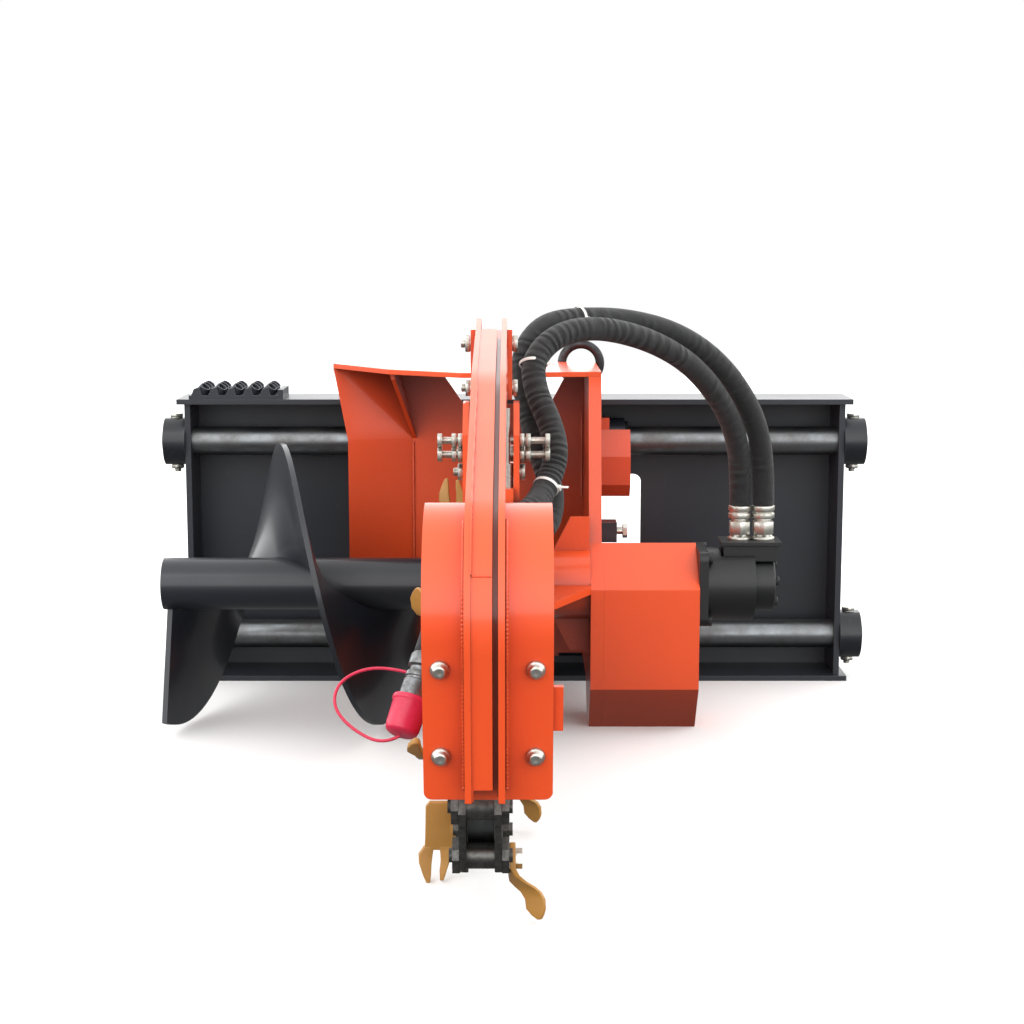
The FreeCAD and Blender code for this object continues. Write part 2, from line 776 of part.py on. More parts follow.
def head_shaft_parts():
    y = -head_setback
    z = head_height
    shaft = rod_along_x(shaft_left, shaft_right, y, z, shaft_diameter / 2)
    shapes["head_shaft"] = shaft

    start = shaft_right - coupling_length / 2
    coupling = rod_along_x(start, start + coupling_length, y, z, coupling_diameter / 2)
    coupling = coupling.cut(rod_along_x(start - 1, shaft_right, y, z, shaft_diameter / 2 + running_gap))
    coupling = coupling.cut(rod_along_x(shaft_right - 1, start + coupling_length + 1, y, z,
                                        motor_shaft_diameter / 2 + running_gap))
    motor_shaft = rod_along_x(shaft_right + seat_gap, guard_right + motor_flange_thickness + 24, y, z,
                              motor_shaft_diameter / 2)
    shapes["drive_coupling"] = group([coupling, motor_shaft])

    hub = rod_along_x(-hub_length / 2, hub_length / 2, 0, 0, hub_diameter / 2)
    tip = pitch_radius + bush_diameter * 0.2
    wheel = rod_along_x(-sprocket_width / 2, sprocket_width / 2, 0, 0, tip)
    seat = bush_diameter / 2 + soft_gap
    half = sprocket_width / 2 + 1
    gap = prism_x([(-seat, pitch_radius), (-seat - 5, tip + 5), (seat + 5, tip + 5), (seat, pitch_radius)],
                  -half, half)
    gap = gap.fuse(rod_along_x(-half, half, 0, pitch_radius, seat))
    for i in range(sprocket_teeth):
        cut = gap.copy()
        cut.rotate(V(0, 0, 0), V(1, 0, 0), 360.0 * i / sprocket_teeth)
        wheel = wheel.cut(cut)
    bore = rod_along_x(-hub_length, hub_length, 0, 0, shaft_diameter / 2 + running_gap)
    shapes["drive_sprocket"] = to_boom(wheel.fuse(hub).cut(bore))


def auger():
    y = -head_setback
    z = head_height
    radius = auger_tube_diameter / 2
    tube = rod_along_x(auger_left, auger_tube_right, y, z, radius)
    tube = tube.cut(rod_along_x(auger_left - 1, auger_left + 60, y, z, radius - 8))
    tube = tube.cut(rod_along_x(shaft_left - 1, auger_tube_right + 1, y, z, shaft_diameter / 2 + running_gap))
    shapes["auger_tube"] = tube

    turn = 360.0 / flight_pitch
    length = flight_right - flight_left - flight_thickness
    edges = []
    for edge_radius in (radius + seat_gap, flight_radius):
        edges.append(Part.makeHelix(flight_pitch, length, edge_radius).Edges[0])
    sheet = Part.makeRuledSurface(edges[0], edges[1])
    flight = sheet.extrude(V(0, 0, flight_thickness))
    flight.rotate(V(0, 0, 0), V(0, 1, 0), 90.0)
    # The helix starts at its radius along -Z once its axis lies along X
    start_angle = (flight_left - flight_bottom_x) * turn
    flight.rotate(V(0, 0, 0), V(1, 0, 0), start_angle)
    flight.translate(V(flight_left, y, z))
    shapes["auger_flight"] = flight


def boom():
    beam_end = boom_length - beam_front
    half_w = beam_width / 2
    half_h = beam_height / 2
    beam = box(-half_w, half_w, -beam_end, -beam_rear, -half_h, half_h)
    hollow = box(-half_w + beam_wall, half_w - beam_wall, -beam_end + beam_wall, -beam_rear + 1,
                 -half_h + beam_wall, half_h - beam_wall)
    beam = beam.cut(hollow)
    rail_top = pitch_radius - bush_diameter / 2 - soft_gap
    for side in (-1, 1):
        low = min(side * half_h, side * rail_top)
        high = max(side * half_h, side * rail_top)
        rail = box(-rail_width / 2, rail_width / 2, -beam_end - 10, -beam_rear, low, high)
        beam = beam.fuse(rail)
    inner = roller_width / 2 + 2
    for side in (-1, 1):
        x0 = min(side * inner, side * (inner + fork_plate))
        arm = box(x0, x0 + fork_plate, -boom_length, -beam_end, -half_h, half_h)
        arm = arm.fuse(rod_along_x(x0, x0 + fork_plate, -boom_length, 0, fork_radius))
        pin_hole = nose_pin_diameter / 2 + running_gap
        arm = arm.cut(rod_along_x(x0 - 1, x0 + fork_plate + 1, -boom_length, 0, pin_hole))
        beam = beam.fuse(arm)
    shapes["boom_beam"] = to_boom(beam)

    pin_reach = inner + fork_plate + 4
    pin = rod_along_x(-pin_reach, pin_reach, -boom_length, 0, nose_pin_diameter / 2)
    shapes["nose_pin"] = to_boom(pin)
    bush = tube_along_x(-roller_width / 2, roller_width / 2, -boom_length, 0, roller_bush_diameter / 2,
                        nose_pin_diameter / 2 + running_gap)
    drum = tube_along_x(-roller_width / 2, roller_width / 2, -boom_length, 0, drum_radius,
                        roller_bush_diameter / 2 + running_gap)
    for i in range(6):
        angle = math.radians(60.0 * i)
        hole_y = -boom_length + drum_hole_circle * math.cos(angle)
        hole_z = drum_hole_circle * math.sin(angle)
        hole = rod_along_x(-roller_width, roller_width, hole_y, hole_z, drum_hole_radius)
        drum = drum.cut(hole)
    shapes["nose_roller"] = group([to_boom(drum), to_boom(bush)])

    plate_left = half_w + seat_gap
    start = plate_left
    disc = rod_along_x(start, start + support_plate, 0, 0, support_disc_radius)
    half_s = support_height / 2
    arm = box(start, start + support_plate, -support_length, 0, -half_s, half_s)
    mount = disc.fuse(arm)
    housing_hole = housing_diameter / 2 + seat_gap
    mount = mount.cut(rod_along_x(start - 1, start + support_plate + 1, 0, 0, housing_hole))
    face = start + support_plate
    wall = side_plate_left - boom_x
    brace = prism_z([(wall, -12), (wall, -brace_front_at_wall), (face, -brace_front_at_arm),
                     (face, -brace_rear_at_arm)], 0, brace_thickness)
    mount = mount.fuse(brace)
    clear = rod_along_x(face - 1, wall + 1, 0, 0, housing_diameter / 2 + seat_gap)
    shapes["boom_support"] = to_boom(mount.cut(clear))

    bolts = list(lock_bolts)
    for setback in support_bolt_setbacks:
        for z in (0, support_bolt_rise):
            bolts.append(to_boom(bolt_head(V(face, -setback, z), V(1, 0, 0), 14.0)))
    shapes["carriage_bolts"] = group(bolts)


def link_plate_outline(y0, y1):
    """Side bar of a chain link with chamfered ends, standing on its two pin centres."""
    half = link_height / 2
    cut = half * 0.6
    return [(y0 + half, -cut / 2), (y0 + half, cut / 2), (y0 + cut / 2, half), (y1 - cut / 2, half),
            (y1 - half, cut / 2), (y1 - half, -cut / 2), (y1 - cut / 2, -half), (y0 + cut / 2, -half)]


def tooth_view(kind):
    """Outline of a tooth seen along the chain, as (x, rise): chisel, two-pronged fork or wide sweep."""
    face = outer_half + seat_gap
    back = face + tooth_plate
    foot = [(face, -14), (back, -14)]
    if kind == "chisel":
        inner = chisel_reach - 21
        return foot + [(back, 18), (back + 6, 26), (inner + 3, 34), (chisel_reach, 34), (chisel_reach, 60),
                       (chisel_reach - 7, tooth_rise), (inner, 60), (inner, 44), (face + 8, 34), (face, 24)]
    if kind == "fork":
        return foot + [(back, 18), (fork_reach - 4, 25), (fork_reach, 32), (fork_reach, 60),
                       (fork_reach - 2, tooth_rise), (fork_reach - 9, 58), (47, 51), (44, tooth_rise - 5),
                       (38, 56), (27, 49), (26, 24), (face, 23)]
    return foot + [(back, 18), (60, 26), (wide_reach - 14, 34), (wide_reach, 40), (wide_reach, 60),
                   (wide_reach - 6, tooth_rise), (wide_reach - 16, 58), (wide_reach - 18, 46), (58, 36),
                   (face + 2, 28), (face, 24)]


def tooth_shape(front_view):
    """One bolt-on tooth: its front view crossed with a side view that leans towards the travel."""
    middle = -chain_pitch / 2
    base = tooth_base_length / 2
    lead = middle - tooth_tip_lead
    side_view = [(middle + base - 5, -14), (middle + base, 16), (middle + base - 8, 28),
                 (lead + tooth_tip_length, tooth_rise), (lead, tooth_rise), (lead - 7, 44),
                 (middle - base, 26), (middle - base + 6, -14)]
    side_prism = prism_x(side_view, 0, wide_reach + 1)
    return prism_y(front_view, middle - base - 1, middle + base + 1).common(side_prism)


def chain():
    pins = chain_pins()
    plate = link_plate_outline(0, -chain_pitch)
    pin_radius = pin_diameter / 2
    outer_face = outer_half
    outer_start = outer_half - link_plate
    inner_end = inner_half + link_plate

    inner = prism_x(plate, inner_half, inner_end).fuse(prism_x(plate, -inner_end, -inner_half))
    for y in (0, -chain_pitch):
        inner = inner.fuse(rod_along_x(-inner_half, inner_half, y, 0, bush_diameter / 2))
    for y in (0, -chain_pitch):
        inner = inner.cut(rod_along_x(-inner_end - 1, inner_end + 1, y, 0, pin_radius + running_gap))

    outer = prism_x(plate, outer_start, outer_face).fuse(prism_x(plate, -outer_face, -outer_start))
    for y in (0, -chain_pitch):
        outer = outer.fuse(rod_along_x(-pin_half, pin_half, y, 0, pin_radius))

    outer_links = []
    inner_links = []
    for index in range(len(pins)):
        if index % 2 == 0:
            outer_links.append(place_link(outer, pins, index))
        else:
            inner_links.append(place_link(inner, pins, index))
    shapes["outer_links"] = group(outer_links)
    shapes["inner_links"] = group(inner_links)

    teeth = []
    bolts = []
    face = outer_half + seat_gap
    back = face + tooth_plate
    middle = -chain_pitch / 2
    tooth_bolt = bolt_head(V(back, middle, 4), V(1, 0, 0), 12.0)
    flip = FreeCAD.Matrix()
    flip.A11 = -1
    for index in range(0, len(pins), 2):
        right = (index // 2) % 2 == 1
        view = tooth_view("chisel" if right else "fork" if index % 8 else "wide")
        for source, target in ((tooth_shape(view), teeth), (tooth_bolt, bolts)):
            shape = source if right else source.transformGeometry(flip)
            target.append(place_link(shape, pins, index))
    shapes["digging_teeth"] = group(teeth)
    shapes["tooth_bolts"] = group(bolts)


def mast():
    """Support of the crumber arm: a beam over the chain, mast plates, risers and ears."""
    half = support_beam_width / 2
    top = support_beam_bottom + support_beam_height
    beam = box(arm_x - half, arm_x + half, -support_beam_front, -back_plate_front, support_beam_bottom, top)
    hollow = box(arm_x - half + 5, arm_x + half - 5, -support_beam_front + 5, -back_plate_front + 1,
                 support_beam_bottom + 5, top - 5)
    shapes["support_beam"] = beam.cut(hollow)

    hole_radius = mast_bolt_diameter / 2 + running_gap
    bolt_heights = (clamp_bolt_upper, clamp_bolt_lower)
    bolt_y = -(mast_front + mast_back) / 2 + clamp_bolt_offset

    def through(x0, x1, y, z):
        return rod_along_x(x0, x1, y, z, hole_radius)

    plates = []
    risers = []
    ears = []
    ear_inner = arm_half + soft_gap
    for side in (-1, 1):
        x0 = arm_x + side * half
        x1 = arm_x + side * mast_outer
        low, high = min(x0, x1), max(x0, x1)
        outline = [(-mast_front, support_beam_bottom), (-mast_front, mast_top - 40),
                   (-mast_front + 30, mast_top), (-mast_back - 20, mast_top),
                   (-mast_back, mast_top - 20), (-mast_back, support_beam_bottom)]
        plate = prism_x(outline, low, high)
        for z in bolt_heights:
            plate = plate.cut(through(low - 1, high + 1, bolt_y, z))
        for i in (0, 1):
            z = adjuster_height - adjuster_pitch * i
            screw_radius = adjuster_diameter / 2 + running_gap
            screw_hole = rod_along_x(low - 1, high + 1, -adjuster_setback, z, screw_radius)
            plate = plate.cut(screw_hole)
        plates.append(plate)

        x0 = arm_x + side * riser_offset
        x1 = arm_x + side * (riser_offset + riser_plate)
        low, high = min(x0, x1), max(x0, x1)
        foot = [(bolt_y - 22, riser_bottom), (bolt_y + 22, riser_bottom),
                (-pivot_setback + 20, lower_bolt_height - 10), (-pivot_setback + 20, lower_bolt_height + 10),
                (-pivot_setback + 10, lower_bolt_height + 20), (-pivot_setback - 10, lower_bolt_height + 20),
                (-pivot_setback - 20, lower_bolt_height + 10)]
        riser = prism_x(foot, low, high)
        riser = riser.cut(through(low - 1, high + 1, bolt_y, clamp_bolt_upper))
        risers.append(riser.cut(through(low - 1, high + 1, -pivot_setback, lower_bolt_height)))

        x0 = arm_x + side * ear_inner
        x1 = arm_x + side * (ear_inner + ear_plate)
        low, high = min(x0, x1), max(x0, x1)
        ear = box(low, high, -pivot_setback - ear_width / 2, -pivot_setback + ear_width / 2,
                  lower_bolt_height + 9 - 2 * mast_bolt_diameter, pivot_height + 20)
        for z in (lower_bolt_height, pivot_height):
            ear = ear.cut(through(low - 1, high + 1, -pivot_setback, z))
        ears.append(ear)
    shapes["mast_plates"] = group(plates)
    shapes["riser_plates"] = group(risers)
    shapes["pivot_ears"] = group(ears)

    bolts = []
    ear_outer = ear_inner + ear_plate
    for z in (pivot_height, lower_bolt_height):
        start = V(arm_x + ear_outer, -pivot_setback, z)
        bolts.append(bolt(start, V(-1, 0, 0), mast_bolt_diameter, 2 * ear_outer))
    for z in bolt_heights:
        bolts.append(bolt(V(arm_x + mast_outer, bolt_y, z), V(-1, 0, 0), mast_bolt_diameter, 2 * mast_outer))

    spacer = mast_bolt_diameter / 2 + 5
    inner_riser = riser_offset - seat_gap
    spacers = bolts
    for y, z in ((-pivot_setback, lower_bolt_height), (bolt_y, clamp_bolt_upper)):
        spacers.append(tube_along_x(arm_x - inner_riser, arm_x + inner_riser, y, z, spacer, hole_radius))
    reach = half - seat_gap
    lower_spacer = tube_along_x(arm_x - reach, arm_x + reach, bolt_y, clamp_bolt_lower, spacer - 2, hole_radius)
    spacers.append(lower_spacer)
    for side in (-1, 1):
        x0 = arm_x + side * (riser_offset + riser_plate + seat_gap)
        x1 = arm_x + side * (half - seat_gap)
        spacers.append(tube_along_x(min(x0, x1), max(x0, x1), bolt_y, clamp_bolt_upper, spacer, hole_radius))
    shapes["mast_bolts"] = group(spacers)

    screws = []
    nut = adjuster_diameter * bolt_head_height_ratio
    flats = adjuster_diameter * bolt_head_ratio
    for side, reach in ((-1, adjuster_reach_left), (1, adjuster_reach_right)):
        for i in (0, 1):
            z = adjuster_height - adjuster_pitch * i
            inner = arm_x + side * (half - 4)
            outer = arm_x + side * (mast_outer + reach)
            low, high = min(inner, outer), max(inner, outer)
            screw = rod_along_x(low, high, -adjuster_setback, z, adjuster_diameter / 2)
            places = (mast_outer + seat_gap, mast_outer + nut + 2, mast_outer + reach - nut / 2)
            for offset in places:
                centre = V(arm_x + side * offset, -adjuster_setback, z)
                screw = screw.fuse(hexagon(centre, V(side, 0, 0), flats, nut))
            screws.append(screw)
    shapes["adjuster_screws"] = group(screws)

    tube_x = arm_x + half - seat_gap - spring_tube_diameter / 2
    tube_y = -mast_front + 10
    tube = rod_along_z(tube_x, tube_y, top, top + spring_tube_length, spring_tube_diameter / 2)
    rod = rod_along_z(tube_x, tube_y, top + spring_tube_length, spring_rod_top, spring_rod_diameter / 2)
    shapes["adjuster_spring"] = group([tube, rod])


def shoe_surface_point(along, inset=0.0):
    """Point (y, z) on the shoe's flat, measured down from its bend line and inset to the rear."""
    y = -shoe_bend_setback + along * math.sin(flow) + inset * math.cos(flow)
    z = shoe_bend_height - along * math.cos(flow) + inset * math.sin(flow)
    return y, z


def shoe_profile(inset_front, inset_back):
    """Side outline of the curved shoe plate between two insets from its outer face."""
    length = (shoe_bend_height - shoe_bottom) / math.cos(flow)
    centre = shoe_surface_point(0.0, shoe_arc_radius)

    def arc_point(inset, sweep):
        angle = math.radians(180.0 + shoe_tilt - sweep)
        radius = shoe_arc_radius - inset
        return V(0, centre[0] + radius * math.cos(angle), centre[1] + radius * math.sin(angle))

    def flat_point(along, inset):
        y, z = shoe_surface_point(along, inset)
        return V(0, y, z)

    front = Part.Arc(arc_point(inset_front, shoe_arc_sweep), arc_point(inset_front, shoe_arc_sweep / 2),
                     arc_point(inset_front, 0.0)).toShape()
    back = Part.Arc(arc_point(inset_back, 0.0), arc_point(inset_back, shoe_arc_sweep / 2),
                    arc_point(inset_back, shoe_arc_sweep)).toShape()
    edges = [front, Part.makeLine(arc_point(inset_front, 0.0), flat_point(length, inset_front)),
             Part.makeLine(flat_point(length, inset_front), flat_point(length, inset_back)),
             Part.makeLine(flat_point(length, inset_back), arc_point(inset_back, 0.0)), back,
             Part.makeLine(arc_point(inset_back, shoe_arc_sweep), arc_point(inset_front, shoe_arc_sweep))]
    return Part.Wire(edges)


def rounded_path(points, radii):
    """Wire of straight runs with a tangent arc of the given radius at each inner point."""
    edges = []
    start = points[0]
    for i, radius in enumerate(radii, start=1):
        before = (points[i] - points[i - 1]).normalize()
        after = (points[i + 1] - points[i]).normalize()
        turn = before.getAngle(after)
        trim = radius * math.tan(turn / 2.0)
        first = points[i] - before * trim
        last = points[i] + after * trim
        bisector = (after - before).normalize()
        middle = points[i] + bisector * (radius / math.cos(turn / 2.0) - radius)
        if (first - start).Length > 0.001:
            edges.append(Part.makeLine(start, first))
        edges.append(Part.Arc(first, middle, last).toShape())
        start = last
    edges.append(Part.makeLine(start, points[-1]))
    return edges


def arm_outline(drop_outer, drop_inner):
    """Side face of the arm between two drops below its top line."""
    bottom = shoe_surface_point((shoe_bend_height - shoe_bottom) / math.cos(flow) - arm_foot_rise, -arm_proud)
    slope = math.atan2(arm_knee_top - arm_front_top, arm_front_corner - arm_knee)
    rear_slope = math.atan2(arm_rear_top - arm_knee_top, arm_knee - arm_rear)

    def shifted(drop):
        rear = V(0, -arm_rear, arm_rear_top - drop)
        half_turn = (slope - rear_slope) / 2
        mean_slope = (slope + rear_slope) / 2
        knee_drop = drop / math.cos(half_turn)
        knee = V(0, -arm_knee + knee_drop * math.sin(mean_slope),
                 arm_knee_top - knee_drop * math.cos(mean_slope))
        front_drop = min(drop, arm_proud - seat_gap)
        lower = V(0, bottom[0] + front_drop * math.cos(flow), bottom[1] + front_drop * math.sin(flow))
        line = V(0, -math.cos(slope), -math.sin(slope))
        up = V(0, -math.sin(flow), math.cos(flow))
        corner = meet(knee, line, lower, up)
        return [rear, knee, corner, lower]

    outer = rounded_path(shifted(drop_outer), [arm_knee_radius, arm_front_radius - drop_outer])
    inner_points = shifted(drop_inner)
    inner_points.reverse()
    inner_radius = max(arm_front_radius - drop_inner, 40.0)
    inner = rounded_path(inner_points, [inner_radius, arm_knee_radius - drop_inner])
    first = outer[0].Vertexes[0].Point
    last = outer[-1].Vertexes[-1].Point
    edges = outer + [Part.makeLine(last, inner_points[0])] + inner + [Part.makeLine(inner_points[-1], first)]
    return Part.Wire(Part.__sortEdges__(edges))


def meet(point_a, direction_a, point_b, direction_b):
    """Crossing of two lines in the YZ plane."""
    denominator = direction_a.y * direction_b.z - direction_a.z * direction_b.y
    offset = point_b - point_a
    share = (offset.y * direction_b.z - offset.z * direction_b.y) / denominator
    return point_a + direction_a * share


def crumber():
    """Curved channel arm with its shoe, wear plate and bolts."""
    sides = []
    for side in (-1, 1):
        x0 = arm_x + side * arm_half
        x1 = arm_x + side * (arm_half - arm_side)
        face = Part.Face(arm_outline(0.0, arm_depth))
        plate = face.extrude(V(max(x0, x1) - min(x0, x1), 0, 0))
        plate.translate(V(min(x0, x1), 0, 0))
        sides.append(plate)
    web_face = Part.Face(arm_outline(arm_web_drop, arm_web_drop + arm_web))
    web = web_face.extrude(V(arm_width - 2 * arm_side, 0, 0))
    web.translate(V(arm_x - arm_half + arm_side, 0, 0))
    cover_face = Part.Face(arm_outline(cover_drop, arm_web_drop))
    cover = cover_face.extrude(V(cover_width, 0, 0))
    cover.translate(V(arm_x - arm_half + arm_side, 0, 0))
    cover = cover.cut(box(arm_x - arm_width, arm_x + arm_width, -arm_rear - cover_rear, -arm_rear + 10, 0,
                          arm_rear_top + arm_depth))
    arm = sides[0].fuse([sides[1], web, cover])
    pivot_hole = rod_along_x(arm_x - arm_width, arm_x + arm_width, -pivot_setback, pivot_height,
                             mast_bolt_diameter / 2 + running_gap)
    arm = arm.cut(pivot_hole)

    shoe_left = shoe_x - shoe_width / 2
    behind = shoe_profile(-seat_gap, shoe_arc_radius - 20)
    clear = Part.Face(behind).extrude(V(shoe_width, 0, 0))
    clear.translate(V(shoe_left, 0, 0))
    arm = arm.cut(clear)
    foot = shoe_surface_point((shoe_bend_height - shoe_bottom) / math.cos(flow) - arm_foot_rise, -arm_proud)
    notch = box(arm_x - notch_width / 2, arm_x + notch_width / 2, foot[0] - 10, foot[0] + arm_proud + 8,
                foot[1] - 5, foot[1] + notch_height)
    shapes["crumber_arm"] = arm.cut(notch)

    plate = Part.Face(shoe_profile(0.0, shoe_plate)).extrude(V(shoe_width, 0, 0))
    plate.translate(V(shoe_left, 0, 0))
    corners = [edge for edge in plate.Edges if edge.CenterOfMass.z < shoe_bottom + 4
               and abs(edge.Length - shoe_plate) < 0.1]
    plate = plate.makeFillet(shoe_corner, corners)

    def across(along):
        return (shoe_bend_height - along) / math.cos(flow)

    normal = V(0, math.cos(flow), math.sin(flow))
    bolts = []
    holes = []
    grip = shoe_plate + wear_plate
    for side in (-1, 1):
        for height in (shoe_bolt_upper, shoe_bolt_lower):
            y, z = shoe_surface_point(across(height))
            centre = V(shoe_x + side * shoe_bolt_spacing / 2, y, z)
            washer = Part.makeCylinder(shoe_bolt_diameter, 2.5, centre - normal * 2.5, normal)
            bolts.append(domed_bolt(centre - normal * 2.5, normal, grip + 2.5).fuse(washer))
            hole_radius = shoe_bolt_diameter / 2 + running_gap
            holes.append(Part.makeCylinder(hole_radius, grip + 20, centre - normal * 10, normal))
    shapes["shoe_bolts"] = group(bolts)

    top = across(shoe_bolt_upper) - wear_plate_margin
    bottom = across(shoe_bolt_lower) + wear_plate_margin
    outline = []
    for along, inset in ((top, shoe_plate), (top, grip), (bottom, grip), (bottom, shoe_plate)):
        outline.append(shoe_surface_point(along, inset))
    half = shoe_bolt_spacing / 2 + wear_plate_margin
    wear = prism_x(outline, shoe_x - half, shoe_x + half)
    lug = []
    lug_corners = ((lug_top, shoe_plate), (lug_top, grip), (lug_bottom, grip), (lug_bottom, shoe_plate))
    for height, inset in lug_corners:
        lug.append(shoe_surface_point(across(height), inset))
    wear = wear.fuse(prism_x(lug, shoe_x + half - 1, shoe_x + half + lug_reach))
    for hole in holes:
        plate = plate.cut(hole)
        wear = wear.cut(hole)
    shapes["crumber_shoe"] = plate
    shapes["shoe_wear_plate"] = wear


def hose_path(route):
    """Straight runs joined by tangent arcs, each as large as its two runs allow."""
    points = [V(*point) for point in route]
    radii = []
    for i in range(1, len(points) - 1):
        before = points[i] - points[i - 1]
        after = points[i + 1] - points[i]
        turn = before.getAngle(after)
        radii.append(hose_arc_share * min(before.Length, after.Length) / math.tan(turn / 2.0))
    edges = rounded_path(points, radii)
    return Part.Wire(edges), radii


def hoses():
    for name, route in (("outer_hose", outer_hose_route), ("inner_hose", inner_hose_route)):
        path, radii = hose_path(route)
        first = path.Edges[0]
        start = first.valueAt(first.FirstParameter)
        tangent = first.tangentAt(first.FirstParameter)
        circle = Part.Wire(Part.makeCircle(hose_diameter / 2, start, tangent))
        tube = path.makePipeShell([circle], True, False)
        shapes[name] = tube
        print(name, "length", round(path.Length, 1), "smallest radius", round(min(radii), 1))

    couplings = []
    caps = []
    straps = []
    for route in (outer_hose_route, inner_hose_route):
        end = V(*route[-1])
        axis = (end - V(*route[-2])).normalize()
        grip = Part.makeCylinder(coupling_radius, coupling_body * 0.35, end, axis)
        neck_start = end + axis * coupling_body * 0.35
        neck = Part.makeCylinder(coupling_radius * 0.8, coupling_body * 0.2, neck_start, axis)
        nose_start = end + axis * coupling_body * 0.55
        nose = Part.makeCylinder(coupling_radius, coupling_body * 0.45, nose_start, axis)
        couplings.append(grip.fuse([neck, nose]))
        tip = end + axis * coupling_body
        cap = Part.makeCylinder(cap_radius, cap_length, tip, axis)
        edge = [e for e in cap.Edges if e.Curve.TypeId == "Part::GeomCircle"
                and (e.Curve.Center - (tip + axis * cap_length)).Length < 0.1]
        caps.append(cap.makeFillet(6.0, edge))
    shapes["quick_couplers"] = group(couplings)
    shapes["dust_caps"] = group(caps)


def write_parts():
    os.makedirs("parts", exist_ok=True)
    total = 0
    for name, shape in shapes.items():
        shape.exportStep("parts/" + name + ".step")
        facets = len(shape.tessellate(0.5)[1])
        total += facets
        if not shape.isValid() or not shape.Solids:
            print("check", name, shape.isValid(), len(shape.Solids))
    print("nodes", len(shapes), "facets", total)


coupler_frame()
slide_rods()
step_tread()
carriage_sleeves()
hood()
head_bearings()
drive_guard()
motor()
head_shaft_parts()
auger()
boom()
chain()
mast()
crumber()
hoses()
write_parts()
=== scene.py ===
import bpy
import json
import math
from mathutils import Matrix, Vector


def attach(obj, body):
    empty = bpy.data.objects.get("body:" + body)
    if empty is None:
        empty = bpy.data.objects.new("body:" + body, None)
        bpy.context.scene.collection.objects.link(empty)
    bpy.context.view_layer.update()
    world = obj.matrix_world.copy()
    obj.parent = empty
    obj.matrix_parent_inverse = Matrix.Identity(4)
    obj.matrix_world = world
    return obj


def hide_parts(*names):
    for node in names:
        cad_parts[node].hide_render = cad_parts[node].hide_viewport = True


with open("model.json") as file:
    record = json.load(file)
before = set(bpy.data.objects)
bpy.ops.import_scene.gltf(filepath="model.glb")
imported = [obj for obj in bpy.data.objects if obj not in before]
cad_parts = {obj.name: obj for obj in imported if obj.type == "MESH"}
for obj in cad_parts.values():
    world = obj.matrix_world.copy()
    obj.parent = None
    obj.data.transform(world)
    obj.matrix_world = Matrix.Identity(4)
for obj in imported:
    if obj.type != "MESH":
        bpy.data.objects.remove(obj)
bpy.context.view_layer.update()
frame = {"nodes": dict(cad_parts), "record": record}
nodes = frame["nodes"]
mm = 0.001


# Selection and object helpers

def deselectAll():
    bpy.ops.object.select_all(action="DESELECT")


def makeActive(obj):
    deselectAll()
    obj.select_set(True)
    bpy.context.view_layer.objects.active = obj


def applyModifiers(obj):
    makeActive(obj)
    for modifier in list(obj.modifiers):
        bpy.ops.object.modifier_apply(modifier=modifier.name)


def settle(obj, place, material, body, smoothAngle=35):
    # moves the finished mesh to its place, so the object itself sits at the origin
    obj.data.transform(place)
    makeActive(obj)
    bpy.ops.object.shade_smooth_by_angle(angle=math.radians(smoothAngle))
    obj.data.materials.clear()
    obj.data.materials.append(material)
    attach(obj, body)
    return obj


def alongAxis(start, direction):
    # the matrix that stands a piece modelled up +Z on a point, along a direction
    turn = Vector(direction).to_track_quat("Z", "Y").to_matrix().to_4x4()
    return Matrix.Translation(Vector(start)) @ turn


def turnedPiece(name, rings, segments=40, edgeRound=0.0006):
    # a disc drawn up ring by ring, as a lathe would: each ring is (height, radius)
    deselectAll()
    bpy.ops.mesh.primitive_circle_add(vertices=segments, radius=rings[0][1], fill_type="NGON")
    obj = bpy.context.active_object
    obj.name = name
    obj.data.transform(Matrix.Translation((0, 0, rings[0][0])))
    bpy.ops.object.mode_set(mode="EDIT")
    bpy.ops.mesh.select_all(action="SELECT")
    for (lastHeight, lastRadius), (height, radius) in zip(rings, rings[1:]):
        bpy.ops.mesh.extrude_region_move(TRANSFORM_OT_translate={"value": (0, 0, height - lastHeight)})
        if abs(radius - lastRadius) > 1e-7:
            ratio = radius / lastRadius
            bpy.ops.transform.resize(value=(ratio, ratio, 1), center_override=(0, 0, height))
    bpy.ops.mesh.select_all(action="SELECT")
    bpy.ops.mesh.normals_make_consistent(inside=False)
    bpy.ops.object.mode_set(mode="OBJECT")
    if edgeRound:
        roundEdges(obj, edgeRound)
    return obj


def joined(name, parts):
    deselectAll()
    for part in parts:
        part.select_set(True)
    bpy.context.view_layer.objects.active = parts[0]
    bpy.ops.object.join()
    parts[0].name = name
    return parts[0]


def roundEdges(obj, width, segments=2, minAngle=40):
    modifier = obj.modifiers.new("edgeRound", "BEVEL")
    modifier.width = width
    modifier.segments = segments
    modifier.limit_method = "ANGLE"
    modifier.angle_limit = math.radians(minAngle)
    applyModifiers(obj)


# Materials

def hexColour(value):
    # sRGB hex to the linear values that the shader sockets take
    channels = [int(value[i:i + 2], 16) / 255 for i in (1, 3, 5)]
    linear = [c / 12.92 if c <= 0.04045 else ((c + 0.055) / 1.055) ** 2.4 for c in channels]
    return (*linear, 1.0)


def addNode(tree, kind, settings=None, links=None):
    node = tree.nodes.new("ShaderNode" + kind)
    for key, value in (settings or {}).items():
        if isinstance(key, int) or key in node.inputs:
            node.inputs[key].default_value = value
        else:
            setattr(node, key, value)
    for key, socket in (links or {}).items():
        tree.links.new(socket, node.inputs[key])
    return node


def mixColours(tree, first, second, factor):
    return addNode(tree, "Mix", {"data_type": "RGBA", 6: hexColour(first), 7: hexColour(second)}, {0: factor})


